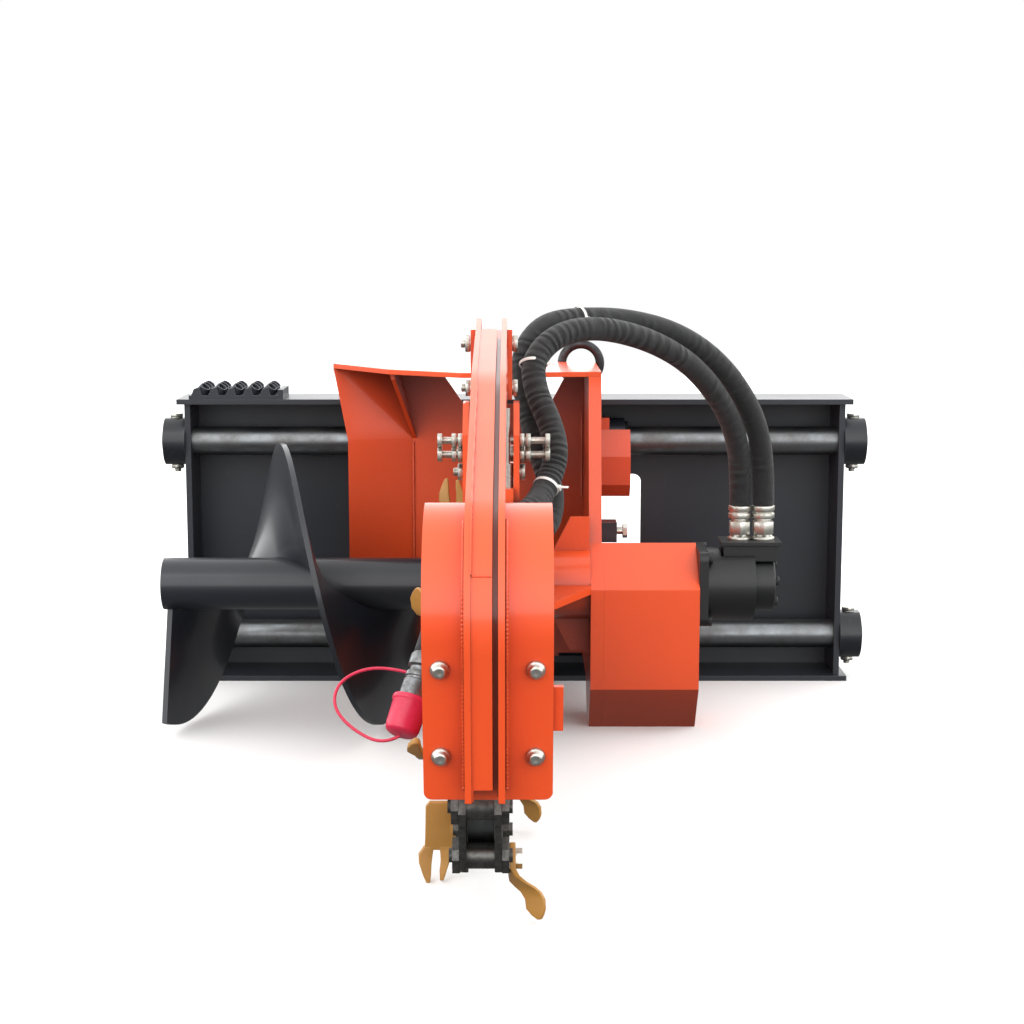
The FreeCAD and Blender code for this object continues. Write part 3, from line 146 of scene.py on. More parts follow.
def newMaterial(name):
    material = bpy.data.materials.new(name)
    material.use_nodes = True
    tree = material.node_tree
    shader = tree.nodes["Principled BSDF"]
    return material, tree, shader


# how far the shade of a recess reaches in metres, and the share of open sky that counts as deep or open
recessShade = {"reach": 0.3, "deep": 0.22, "open": 0.66}


def paintedSteel(name, look):
    # powder coat or enamel over plate: a fine orange-peel skin, cloudy gloss, dust, and lighter edges that
    # are partly rubbed paint and partly painted edge highlight
    material, tree, shader = newMaterial(name)
    place = addNode(tree, "TexCoord").outputs["Object"]
    cloud = addNode(tree, "TexNoise", {"Scale": 1 / look["cloudSize"], "Detail": 4.0}, {"Vector": place})
    tint = mixColours(tree, look["colour"], look["shade"], cloud.outputs["Fac"])
    speck = addNode(tree, "TexNoise", {"Scale": 1 / look["dustSize"], "Detail": 8.0, "Roughness": 0.7},
                    {"Vector": place})
    dust = addNode(tree, "MapRange", {"From Min": 0.6, "From Max": 0.78, "To Max": look["dust"]},
                   {"Value": speck.outputs["Fac"]})
    dusty = addNode(tree, "Mix", {"data_type": "RGBA", 7: hexColour(look["dustColour"])},
                    {0: dust.outputs["Result"], 6: tint.outputs[2]})
    rounded = addNode(tree, "Bevel", {"Radius": look["edgeWidth"], "samples": 4})
    flat = addNode(tree, "NewGeometry").outputs["Normal"]
    facing = addNode(tree, "VectorMath", {"operation": "DOT_PRODUCT"},
                     {0: rounded.outputs["Normal"], 1: flat})
    # the edges are painted lighter: partly rubbed paint, partly a painted highlight along each edge
    edge = addNode(tree, "MapRange", {"From Min": 0.985, "From Max": 0.8, "To Max": look["edgeWear"]},
                   {"Value": facing.outputs["Value"]})
    broken = addNode(tree, "Math", {"operation": "MULTIPLY"},
                     {0: edge.outputs["Result"], 1: speck.outputs["Fac"]})
    wornAndHighlitEdges = addNode(tree, "Mix", {"data_type": "RGBA", 7: hexColour(look["edgeColour"])},
                   {0: broken.outputs["Value"], 6: dusty.outputs[2]})
    coat = wornAndHighlitEdges.outputs[2]
    if "recess" in look:
        # darkens the paint in recesses, in place of the deep shade that the photograph has in the hood
        shelter = addNode(tree, "AmbientOcclusion", {"Distance": recessShade["reach"], "samples": 6})
        exposed = addNode(tree, "MapRange", {"From Min": recessShade["deep"], "From Max": recessShade["open"],
                                             "To Min": look["recess"]}, {"Value": shelter.outputs["AO"]})
        coat = addNode(tree, "Mix", {"data_type": "RGBA", "blend_type": "MULTIPLY", 0: 1.0},
                       {6: coat, 7: exposed.outputs["Result"]}).outputs[2]
    tree.links.new(coat, shader.inputs["Base Color"])
    gloss = addNode(tree, "MapRange",
                    {"To Min": look["roughness"] - 0.06, "To Max": look["roughness"] + 0.12},
                    {"Value": cloud.outputs["Fac"]})
    tree.links.new(gloss.outputs["Result"], shader.inputs["Roughness"])
    peel = addNode(tree, "TexNoise", {"Scale": 1 / look["peelSize"], "Detail": 2.0}, {"Vector": place})
    skin = addNode(tree, "Bump", {"Strength": look["peelStrength"], "Distance": 0.0004},
                   {"Height": peel.outputs["Fac"], "Normal": rounded.outputs["Normal"]})
    tree.links.new(skin.outputs["Normal"], shader.inputs["Normal"])
    shader.inputs["IOR"].default_value = 1.5
    shader.inputs["Coat Weight"].default_value = look["coat"]
    shader.inputs["Coat Roughness"].default_value = 0.12
    return material


def bareSteel(name, look):
    # metal left bare: its own tint, turning or rolling marks along one axis, and a film of oil or dirt
    material, tree, shader = newMaterial(name)
    place = addNode(tree, "TexCoord").outputs["Object"]
    cloud = addNode(tree, "TexNoise", {"Scale": 1 / look["cloudSize"], "Detail": 6.0, "Roughness": 0.65},
                    {"Vector": place})
    film = addNode(tree, "MapRange", {"From Min": 0.35, "From Max": 0.75}, {"Value": cloud.outputs["Fac"]})
    tint = mixColours(tree, look["colour"], look["shade"], film.outputs["Result"])
    tree.links.new(tint.outputs[2], shader.inputs["Base Color"])
    shader.inputs["Metallic"].default_value = 1.0
    gloss = addNode(tree, "MapRange",
                    {"To Min": look["roughness"], "To Max": look["roughness"] + look["film"]},
                    {"Value": film.outputs["Result"]})
    tree.links.new(gloss.outputs["Result"], shader.inputs["Roughness"])
    stretch = addNode(tree, "Mapping", {"Scale": look["markScale"]}, {"Vector": place})
    marks = addNode(tree, "TexNoise", {"Scale": 1.0, "Detail": 3.0}, {"Vector": stretch.outputs["Vector"]})
    rounded = addNode(tree, "Bevel", {"Radius": 0.0008, "samples": 4})
    skin = addNode(tree, "Bump", {"Strength": look["markStrength"], "Distance": 0.0003},
                   {"Height": marks.outputs["Fac"], "Normal": rounded.outputs["Normal"]})
    tree.links.new(skin.outputs["Normal"], shader.inputs["Normal"])
    return material


def wovenSleeve(name, look):
    # nylon textile sleeve: ribs of coarse yarn along the hose, crossed by a fine weft
    material, tree, shader = newMaterial(name)
    surface = addNode(tree, "TexCoord").outputs["UV"]
    ribs = addNode(tree, "Mapping", {"Scale": (look["weftCount"], look["warpCount"], 1)}, {"Vector": surface})
    weft = addNode(tree, "TexWave", {"bands_direction": "X", "Scale": 1.0, "Distortion": 1.5, "Detail": 2.0},
                   {"Vector": ribs.outputs["Vector"]})
    warp = addNode(tree, "TexWave", {"bands_direction": "Y", "Scale": 1.0, "Distortion": 1.0},
                   {"Vector": ribs.outputs["Vector"]})
    yarn = addNode(tree, "Math", {"operation": "MULTIPLY"}, {0: weft.outputs["Fac"], 1: warp.outputs["Fac"]})
    place = addNode(tree, "TexCoord").outputs["Object"]
    crease = addNode(tree, "TexNoise", {"Scale": 1 / look["creaseSize"], "Detail": 5.0}, {"Vector": place})
    tint = mixColours(tree, look["shade"], look["colour"], yarn.outputs["Value"])
    tree.links.new(tint.outputs[2], shader.inputs["Base Color"])
    shader.inputs["Roughness"].default_value = look["roughness"]
    shader.inputs["Sheen Weight"].default_value = 0.15
    shader.inputs["Sheen Roughness"].default_value = 0.4
    fine = addNode(tree, "Bump", {"Strength": 0.7, "Distance": 0.0008}, {"Height": yarn.outputs["Value"]})
    slack = addNode(tree, "Bump", {"Strength": 0.8, "Distance": 0.004},
                    {"Height": crease.outputs["Fac"], "Normal": fine.outputs["Normal"]})
    # rucks where the loose sleeve gathers, in patches along the hose
    span = addNode(tree, "Mapping", {"Scale": (look["ruckCount"], 1, 1)}, {"Vector": surface})
    ruck = addNode(tree, "TexWave", {"bands_direction": "X", "Scale": 1.0, "Distortion": 6.0, "Detail": 2.0,
                                     "Detail Scale": 1.5}, {"Vector": span.outputs["Vector"]})
    patch = addNode(tree, "TexNoise", {"Scale": 14.0, "Detail": 2.0}, {"Vector": place})
    gather = addNode(tree, "MapRange", {"From Min": 0.4, "From Max": 0.62}, {"Value": patch.outputs["Fac"]})
    depth = addNode(tree, "Math", {"operation": "MULTIPLY"},
                    {0: ruck.outputs["Fac"], 1: gather.outputs["Result"]})
    gathered = addNode(tree, "Bump", {"Strength": 1.0, "Distance": 0.0028},
                       {"Height": depth.outputs["Value"], "Normal": slack.outputs["Normal"]})
    tree.links.new(gathered.outputs["Normal"], shader.inputs["Normal"])
    return material


def mouldedPlastic(name, look):
    # injection moulded: an even gloss with a faint grain from the tool
    material, tree, shader = newMaterial(name)
    place = addNode(tree, "TexCoord").outputs["Object"]
    grain = addNode(tree, "TexNoise", {"Scale": 1 / look["grainSize"], "Detail": 3.0}, {"Vector": place})
    tint = mixColours(tree, look["colour"], look["shade"], grain.outputs["Fac"])
    tree.links.new(tint.outputs[2], shader.inputs["Base Color"])
    gloss = addNode(tree, "MapRange",
                    {"To Min": look["roughness"] - 0.05, "To Max": look["roughness"] + 0.08},
                    {"Value": grain.outputs["Fac"]})
    tree.links.new(gloss.outputs["Result"], shader.inputs["Roughness"])
    skin = addNode(tree, "Bump", {"Strength": 0.15, "Distance": 0.0003}, {"Height": grain.outputs["Fac"]})
    tree.links.new(skin.outputs["Normal"], shader.inputs["Normal"])
    shader.inputs["IOR"].default_value = 1.47
    return material


# orange-peel grain is drawn at 3 mm, coarser than the real 1 mm, so that it shows
orangeCoat = paintedSteel("orangePowderCoat", {
    "colour": "#EA5017", "shade": "#DE4812", "cloudSize": 0.16, "dust": 0.06, "dustSize": 0.02,
    "dustColour": "#B0714E", "recess": 0.26, "edgeWear": 0.22, "edgeColour": "#FF8A50", "edgeWidth": 0.0016,
    "roughness": 0.42, "peelSize": 0.003, "peelStrength": 0.06, "coat": 0.45})
frameEnamel = paintedSteel("blueBlackEnamel", {
    "colour": "#23272F", "shade": "#1B1E25", "cloudSize": 0.20, "dust": 0.25, "dustSize": 0.012,
    "dustColour": "#575B63", "edgeWear": 0.45, "edgeColour": "#7B7F88", "edgeWidth": 0.0016,
    "roughness": 0.42, "peelSize": 0.003, "peelStrength": 0.12, "coat": 0.15})
augerEnamel = paintedSteel("satinBlackEnamel", {
    "colour": "#181D26", "shade": "#11151C", "cloudSize": 0.12, "dust": 0.2, "dustSize": 0.01,
    "dustColour": "#4A4B50", "edgeWear": 0.5, "edgeColour": "#5A5B60", "edgeWidth": 0.0014,
    "roughness": 0.4, "peelSize": 0.003, "peelStrength": 0.12, "coat": 0.3})
motorEnamel = paintedSteel("castMotorEnamel", {
    "colour": "#0E1012", "shade": "#08090A", "cloudSize": 0.05, "dust": 0.2, "dustSize": 0.008,
    "dustColour": "#3E3F43", "edgeWear": 0.3, "edgeColour": "#4A4B50", "edgeWidth": 0.0018,
    "roughness": 0.46, "peelSize": 0.0035, "peelStrength": 0.5, "coat": 0.1})
toothEnamel = paintedSteel("goldToothEnamel", {
    "colour": "#B8863F", "shade": "#9C6C2C", "cloudSize": 0.03, "dust": 0.4, "dustSize": 0.008,
    "dustColour": "#7A5A22", "edgeWear": 0.5, "edgeColour": "#E8C987", "edgeWidth": 0.0012,
    "roughness": 0.45, "peelSize": 0.003, "peelStrength": 0.2, "coat": 0.0})
rodSteel = bareSteel("groundRodSteel", {
    "colour": "#84888B", "shade": "#605E5B", "cloudSize": 0.05, "roughness": 0.3, "film": 0.25,
    "markScale": (900, 60, 60), "markStrength": 0.10})
zincPlate = bareSteel("zincPlatedSteel", {
    "colour": "#D2D1CB", "shade": "#9E9B8C", "cloudSize": 0.01, "roughness": 0.26, "film": 0.2,
    "markScale": (300, 300, 300), "markStrength": 0.10})
couplingSteel = bareSteel("platedCouplingSteel", {
    "colour": "#8C8E91", "shade": "#56544F", "cloudSize": 0.008, "roughness": 0.3, "film": 0.25,
    "markScale": (300, 300, 900), "markStrength": 0.2})
collarEnamel = paintedSteel("collarEnamel", {
    "colour": "#0E131C", "shade": "#0A0D13", "cloudSize": 0.04, "dust": 0.3, "dustSize": 0.008,
    "dustColour": "#5E626C", "edgeWear": 0.6, "edgeColour": "#8A8E97", "edgeWidth": 0.0016,
    "roughness": 0.4, "peelSize": 0.003, "peelStrength": 0.12, "coat": 0.15})
forgedSteel = bareSteel("forgedRingSteel", {
    "colour": "#4B4A4C", "shade": "#2B2A2C", "cloudSize": 0.015, "roughness": 0.42, "film": 0.2,
    "markScale": (260, 260, 260), "markStrength": 0.35})
chainSteel = bareSteel("oiledChainSteel", {
    "colour": "#6A6966", "shade": "#3A3937", "cloudSize": 0.012, "roughness": 0.38, "film": 0.25,
    "markScale": (220, 220, 220), "markStrength": 0.3})
bushBronze = bareSteel("turnedBronze", {
    "colour": "#C79A57", "shade": "#8F6A33", "cloudSize": 0.02, "roughness": 0.3, "film": 0.2,
    "markScale": (900, 60, 60), "markStrength": 0.1})
hoseSleeve = wovenSleeve("nylonHoseSleeve", {
    "colour": "#1A1C1F", "shade": "#050606", "weftCount": 420, "warpCount": 26, "creaseSize": 0.03,
    "ruckCount": 26, "roughness": 0.66})
capPlastic = mouldedPlastic("redCapPlastic", {
    "colour": "#DA2E52", "shade": "#C62044", "grainSize": 0.004, "roughness": 0.33})
tiePlastic = mouldedPlastic("whiteTieNylon", {
    "colour": "#E8E7E2", "shade": "#D5D3CC", "grainSize": 0.003, "roughness": 0.4})
sealRubber = mouldedPlastic("wiperRubber", {
    "colour": "#161617", "shade": "#0F0F10", "grainSize": 0.002, "roughness": 0.55})
print("materials made")

finishes = {
    "orange_paint": orangeCoat, "dark_paint": frameEnamel, "black_paint": augerEnamel, "steel": rodSteel,
    "zinc": zincPlate, "dark_steel": forgedSteel, "chain_steel": chainSteel, "gold_paint": toothEnamel,
    "hose_sleeve": hoseSleeve, "bronze": bushBronze, "seal_rubber": sealRubber, "red_plastic": capPlastic,
}
nodeFinishes = {"rod_collars": collarEnamel, "motor_housing": motorEnamel, "motor_end_cover": motorEnamel,
                "port_block": motorEnamel}


def finishCadNodes():
    for part in frame["record"]["subparts"]:
        node = nodes[part["node"]]
        node.data.materials.clear()
        node.data.materials.append(nodeFinishes.get(part["node"], finishes[part["material_slot"]]))


finishCadNodes()
print("CAD nodes finished")

# Camera: square on to the nose of the boom, a little above it, as in the photograph
cameraView = {"place": (-0.005, -3.369, 0.786), "pitch": 8.5, "lens": 66.8, "sensor": 36.0}


def placeCamera():
    data = bpy.data.cameras.new("photoCamera")
    data.lens = cameraView["lens"]
    data.sensor_width = cameraView["sensor"]
    camera = bpy.data.objects.new("photoCamera", data)
    camera.location = cameraView["place"]
    camera.rotation_euler = (math.radians(90 - cameraView["pitch"]), 0, 0)
    bpy.context.scene.collection.objects.link(camera)
    bpy.context.scene.camera = camera
    bpy.context.scene.render.resolution_x = 1024
    bpy.context.scene.render.resolution_y = 1024


placeCamera()

# Overcast studio: a bright sky that dims towards the zenith, a dim ground, and a pale floor for the camera
# zenithStart and zenithEnd are the heights of view between which the sky dims to the share "zenith"
studio = {"floorSize": 14.0, "floorColour": "#F6F6F5", "sky": 2.85, "zenith": 0.52, "zenithStart": 0.15,
          "zenithEnd": 0.9, "ground": 0.25, "horizon": 0.05}
softBoxes = (
    {"name": "keyBox", "place": (-2.2, -3.2, 3.0), "aim": (0, -0.6, 0.3), "size": 2.2, "power": 24},
    {"name": "fillBox", "place": (2.8, -2.8, 1.4), "aim": (0, -0.6, 0.3), "size": 2.4, "power": 8},
)


def lightStudio():
    deselectAll()
    bpy.ops.mesh.primitive_plane_add(size=studio["floorSize"], location=(0, 0, 0))
    floor = bpy.context.active_object
    floor.name = "studioFloor"
    material, tree, shader = newMaterial("paleStudioFloor")
    shader.inputs["Base Color"].default_value = hexColour(studio["floorColour"])
    shader.inputs["Roughness"].default_value = 0.9
    floor.data.materials.append(material)
    floor.visible_glossy = False
    floor.visible_diffuse = False
    for box in softBoxes:
        data = bpy.data.lights.new(box["name"], "AREA")
        data.shape = "SQUARE"
        data.size = box["size"]
        data.energy = box["power"]
        lamp = bpy.data.objects.new(box["name"], data)
        lamp.location = box["place"]
        aim = Vector(box["aim"]) - Vector(box["place"])
        lamp.rotation_euler = aim.to_track_quat("-Z", "Y").to_euler()
        bpy.context.scene.collection.objects.link(lamp)
    makeSky()
    bpy.context.scene.view_settings.view_transform = "Standard"


def makeSky():
    # for a background, the position output is the direction looked in
    world = bpy.data.worlds.new("studioWorld")
    world.use_nodes = True
    tree = world.node_tree
    background = tree.nodes["Background"]
    direction = addNode(tree, "SeparateXYZ", {}, {0: addNode(tree, "NewGeometry").outputs["Position"]})
    height = addNode(tree, "MapRange", {"From Min": -studio["horizon"], "From Max": studio["horizon"],
                                        "To Min": studio["ground"], "To Max": studio["sky"]},
                     {"Value": direction.outputs["Z"]})
    zenith = addNode(tree, "MapRange", {"From Min": studio["zenithStart"], "From Max": studio["zenithEnd"],
                                        "To Min": 1.0, "To Max": studio["zenith"]},
                     {"Value": direction.outputs["Z"]})
    sky = addNode(tree, "Math", {"operation": "MULTIPLY"},
                  {0: height.outputs["Result"], 1: zenith.outputs["Result"]})
    toCamera = addNode(tree, "LightPath").outputs["Is Camera Ray"]
    strength = addNode(tree, "Mix", {"data_type": "FLOAT", 3: 1.0},
                       {0: toCamera, 2: sky.outputs["Value"]})
    tree.links.new(strength.outputs[0], background.inputs["Strength"])
    background.inputs["Color"].default_value = hexColour("#FFFFFF")
    bpy.context.scene.world = world


lightStudio()
print("camera and studio set")

# Hoses: the route's points are those of the CAD routes, in metres
hoseDiameter = 0.034
hoses = {
    "outerHose": {
        "node": "outer_hose", "length": 1.15,
        "route": [
            (390, -414, 357), (390, -414, 414), (375, -433, 488), (337, -460, 553), (288, -490, 602),
            (228, -524, 636), (160, -562, 653), (94, -602, 656), (44, -640, 651), (14, -664, 621),
            (9, -684, 576), (20, -706, 532), (28, -730, 490), (44, -750, 452), (53, -764, 408),
            (40, -794, 374), (4, -826, 364), (-40, -850, 358), (-84, -864, 334), (-107, -866, 288),
            (-112, -862, 240)]},
    "innerHose": {
        "node": "inner_hose", "length": 1.11,
        "route": [
            (353, -414, 357), (353, -414, 410), (342, -442, 471), (310, -486, 532), (262, -532, 586),
            (204, -574, 621), (142, -617, 641), (92, -655, 645), (50, -686, 632), (23, -711, 600),
            (28, -736, 560), (48, -760, 520), (57, -780, 482), (48, -796, 450), (34, -826, 426),
            (20, -864, 414), (-12, -896, 402), (-52, -910, 378), (-84, -914, 334), (-101, -914, 280),
            (-117, -944, 234)]},
}
coupling = {"bodyLength": 0.062, "radius": 0.019, "capRadius": 0.025, "capLength": 0.050}


def cordCurve(name, points, diameter, material):
    data = bpy.data.curves.new(name, "CURVE")
    data.dimensions = "3D"
    data.bevel_depth = diameter / 2
    data.bevel_resolution = 8
    data.resolution_u = 12
    data.use_fill_caps = True
    spline = data.splines.new("NURBS")
    spline.points.add(len(points) - 1)
    for point, place in zip(spline.points, points):
        point.co = (*place, 1)
    spline.order_u = 3
    spline.use_endpoint_u = True
    curve = bpy.data.objects.new(name, data)
    bpy.context.scene.collection.objects.link(curve)
    data.materials.append(material)
    return curve


def makeCoupling(name, start, axis):
    # quick coupling: round swage, locking sleeve with its groove, and the nose that the cap covers
    r = coupling["radius"]
    length = coupling["bodyLength"]
    rings = [(0, r * 0.9), (0.004, r), (0.018, r), (0.020, r * 0.78), (0.027, r * 0.78), (0.028, r * 0.96),
             (0.034, r * 0.96), (0.035, r * 0.88), (0.038, r * 0.88), (0.039, r * 0.96),
             (length - 0.002, r * 0.96), (length, r * 0.88)]
    piece = turnedPiece(name, rings, segments=48)
    settle(piece, alongAxis(start, axis), couplingSteel, "carriage")
    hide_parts("quick_couplers")
    return piece


def makeCap(name, start, axis):
    # moulded dust cap with a rolled rim and a domed end
    r = coupling["capRadius"]
    length = coupling["capLength"]
    rings = [(0, r * 0.98), (0.002, r), (0.006, r), (0.008, r * 0.93), (length * 0.8, r * 0.90),
             (length * 0.93, r * 0.84), (length * 0.99, r * 0.66), (length, r * 0.45)]
    piece = turnedPiece(name, rings, segments=48, edgeRound=0.001)
    settle(piece, alongAxis(start, axis), capPlastic, "carriage", smoothAngle=60)
    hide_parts("dust_caps")
    return piece


def makeHoses():
    for name, hose in hoses.items():
        points = [Vector(p) * mm for p in hose["route"]]
        curve = cordCurve(name, points, hoseDiameter, hoseSleeve)
        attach(curve, "carriage")
        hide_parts(hose["node"])
        axis = (points[-1] - points[-2]).normalized()
        fitting = makeCoupling(name + "Coupling", points[-1], axis)
        cap = makeCap(name + "Cap", points[-1] + axis * coupling["bodyLength"], axis)


makeHoses()
print("hoses made")

# Cable ties round the hoses, as (x, y, z) in mm with the direction of the hose there
ties = (
    {"name": "upperTie", "place": (23, -711, 598), "along": (2, -25, -40)},
    {"name": "lowerTie", "place": (41, -811, 438), "along": (-14, -30, -24)},
    {"name": "crestTie", "place": (92, -604, 656), "along": (-50, -38, -3)},
)
tie = {"width": 0.0046, "thickness": 0.0013, "headSize": 0.007, "tailLength": 0.017}


def makeTie(spec):
    radius = hoseDiameter / 2 + tie["thickness"] / 2
    deselectAll()
    bpy.ops.mesh.primitive_torus_add(major_radius=radius, minor_radius=tie["thickness"] / 2,
                                     major_segments=48, minor_segments=10)
    band = bpy.context.active_object
    band.name = spec["name"]
    band.data.transform(Matrix.Diagonal((1, 1, tie["width"] / tie["thickness"], 1)))
    deselectAll()
    bpy.ops.mesh.primitive_cube_add(size=tie["headSize"], location=(radius + tie["headSize"] * 0.3, 0, 0))
    head = bpy.context.active_object
    head.scale = (0.7, 1, 0.8)
    deselectAll()
    bpy.ops.mesh.primitive_cube_add(size=1, location=(radius + tie["tailLength"] * 0.45, 0.002, 0))
    tail = bpy.context.active_object
    tail.scale = (tie["tailLength"], tie["thickness"], tie["width"] * 0.8)
    for piece in (head, tail):
        makeActive(piece)
        bpy.ops.object.transform_apply(location=True, rotation=True, scale=True)
        roundEdges(piece, 0.0004)
    band = joined(spec["name"], [band, head, tail])
    place = alongAxis([c * mm for c in spec["place"]], spec["along"])
    settle(band, place, tiePlastic, "carriage")


for spec in ties:
    makeTie(spec)


# Strap that keeps the dust cap on its coupling
strapRoute = ((-149, -1002, 142), (-170, -1006, 131), (-212, -985, 146), (-238, -968, 172), (-232, -952, 200),
              (-200, -940, 216), (-160, -938, 216), (-124, -948, 208))
strap = {"thickness": 0.0042}


def makeStrap():
    curve = cordCurve("capStrap", [Vector(p) * mm for p in strapRoute], strap["thickness"], capPlastic)
    makeActive(curve)
    bpy.ops.object.convert(target="MESH")
    settle(bpy.context.active_object, Matrix.Identity(4), capPlastic, "carriage",
           smoothAngle=60)


makeStrap()
print("ties and strap made")

# Fasteners, modelled along +Z from the face that the head clamps; sizes in metres
# hexHead's flats and height are shares of the bolt's diameter; every thread is drawn at one pitch
threadPitch = 0.00175
m10Flats = 0.017
m8Flats = 0.013
washerThickness = 0.0012
hexHead = {"flats": 1.7, "height": 0.65, "chamfer": 0.0009, "overrun": 0.006}


def hexPart(flats, low, high):
    deselectAll()
    bpy.ops.mesh.primitive_cylinder_add(vertices=6, radius=flats / math.sqrt(3), depth=high - low,
                                        location=(0, 0, (low + high) / 2))
    part = bpy.context.active_object
    makeActive(part)
    bpy.ops.object.transform_apply(location=True, rotation=False, scale=False)
    roundEdges(part, hexHead["chamfer"])
    return part


def threadPart(radius, low, high):
    # grooves turned at the thread's pitch; the helix angle is too small to see
    rings = []
    turns = int((high - low) / threadPitch)
    for i in range(turns):
        height = low + i * threadPitch
        rings += [(height, radius * 0.88), (height + threadPitch * 0.5, radius)]
    rings += [(high - 0.0008, radius * 0.9), (high, radius * 0.75)]
    return turnedPiece("thread", rings, segments=24, edgeRound=0)


def washerPart(radius, low, high):
    return turnedPiece("washer", [(low, radius - 0.0004), (low + 0.0004, radius), (high - 0.0004, radius),
                                  (high, radius - 0.0004)], segments=32, edgeRound=0)


def hexBolt(name, diameter, grip):
    # the head stands below the origin, the nut and the thread end past the grip
    flats = diameter * hexHead["flats"]
    height = diameter * hexHead["height"]
    parts = [hexPart(flats, -height, -washerThickness), washerPart(flats * 0.52, -washerThickness, 0),
             washerPart(flats * 0.52, grip, grip + washerThickness),
             hexPart(flats, grip + washerThickness, grip + height),
             threadPart(diameter / 2, grip - 0.002, grip + height + hexHead["overrun"])]
    deselectAll()
    bpy.ops.mesh.primitive_cylinder_add(vertices=24, radius=diameter / 2 * 0.97, depth=grip,
                                        location=(0, 0, grip / 2))
    parts.append(bpy.context.active_object)
    return joined(name, parts)


def placeCopies(source, places, material, body, node=None):
    # one modelled fastener set at each place, every copy with a mesh of its own
    for i, (start, axis) in enumerate(places):
        copy = bpy.data.objects.new(source.name + str(i + 1), source.data.copy())
        bpy.context.scene.collection.objects.link(copy)
        settle(copy, alongAxis([c * mm for c in start], axis), material, body)
        if node:
            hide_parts(node)
    bpy.data.objects.remove(source)


def makeCollarBolts():
    places = [((side * 589, -70, height + 40), (0, 0, -1)) for side in (-1, 1) for height in (76, 419)]
    bolt = hexBolt("collarBolt", 0.012, 0.080)
    placeCopies(bolt, places, zincPlate, "coupler_frame", "collar_bolts")


makeCollarBolts()

mastBolts = {"x": -33, "earHalf": 28.3, "mastHalf": 38, "pivot": (-752, 629), "lower": (-752, 568),
             "clampY": -798, "clampHeights": (482, 457)}


def makeMastBolts():
    spec = mastBolts
    right = spec["x"] + spec["earHalf"]
    places = [((right, y, z), (-1, 0, 0)) for y, z in (spec["pivot"], spec["lower"])]
    placeCopies(hexBolt("earBolt", 0.012, 0.0566), places, zincPlate, "carriage", "mast_bolts")
    right = spec["x"] + spec["mastHalf"]
    places = [((right, spec["clampY"], z), (-1, 0, 0)) for z in spec["clampHeights"]]
    placeCopies(hexBolt("clampBolt", 0.012, 0.076), places, zincPlate, "carriage", "mast_bolts")
    spacers = ((13.8, 568, -752, 11), (29.8, 482, -798, 11), (29.8, 457, -798, 9))
    for half, z, y, radius in spacers:
        tube = washerPart(radius * mm, 0, 2 * half * mm)
        tube.name = "boltSpacer"
        start = (spec["x"] * mm - half * mm, y * mm, z * mm)
        settle(tube, alongAxis(start, (1, 0, 0)), zincPlate, "carriage")
        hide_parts("mast_bolts")


makeMastBolts()

adjusters = {"x": -33, "half": 38, "y": -824, "heights": (503, 484), "reach": {-1: 31, 1: 38}, "root": 12,
             "nutHeight": 0.0065}


def makeAdjusters():
    # set screw with a hex head at its free end and two lock nuts, the first against the mast plate
    for side, reach in adjusters["reach"].items():
        length = (adjusters["root"] + reach) * mm
        seat = adjusters["root"] * mm + 0.0002
        thick = adjusters["nutHeight"]
        parts = [threadPart(0.005, 0, length - 0.003), hexPart(m10Flats, seat, seat + thick),
                 hexPart(m10Flats, seat + 0.0085, seat + 0.015),
                 hexPart(m10Flats, length - thick / 2, length + thick / 2)]
        start = adjusters["x"] + side * (adjusters["half"] - adjusters["root"])
        places = [((start, adjusters["y"], z), (side, 0, 0)) for z in adjusters["heights"]]
        screw = joined("adjusterScrew" + ("Left" if side < 0 else "Right"), parts)
        placeCopies(screw, places, zincPlate, "carriage", "adjuster_screws")


makeAdjusters()

shoeBolts = {"tilt": 10.7, "bend": (-1466.2, 365), "x": -30, "halfSpacing": 49.5, "heights": (337, 240)}


def makeShoeBolts():
    # washer, flanged dome nut with a dimpled end, and a hex nut behind
    tilt = math.radians(shoeBolts["tilt"])
    dome = turnedPiece("dome", [(0, 0.0098), (-0.0012, 0.0098), (-0.0022, 0.0086), (-0.0030, 0.0078),
                                (-0.0058, 0.0070), (-0.0068, 0.0060), (-0.0074, 0.0044), (-0.0071, 0.0030),
                                (-0.0066, 0.0010)], segments=40, edgeRound=0)
    washer = washerPart(0.010, 0, 0.0025)
    nut = hexPart(m10Flats, 0.0167, 0.0232)
    stud = threadPart(0.005, 0.0025, 0.0252)
    bolt = joined("shoeBolt", [dome, washer, nut, stud])
    places = []
    for side in (-1, 1):
        for height in shoeBolts["heights"]:
            along = (shoeBolts["bend"][1] - height) / math.cos(tilt)
            y = shoeBolts["bend"][0] + along * math.sin(tilt)
            z = shoeBolts["bend"][1] - along * math.cos(tilt)
            x = shoeBolts["x"] + side * shoeBolts["halfSpacing"]
            axis = (0, math.cos(tilt), math.sin(tilt))
            places.append(((x, y - 2.5 * axis[1], z - 2.5 * axis[2]), axis))
    placeCopies(bolt, places, zincPlate, "crumber", "shoe_bolts")


makeShoeBolts()

motorFace = {"x": 300, "y": -414, "z": 230, "reach": 49, "coverEnd": 407, "circle": 31}


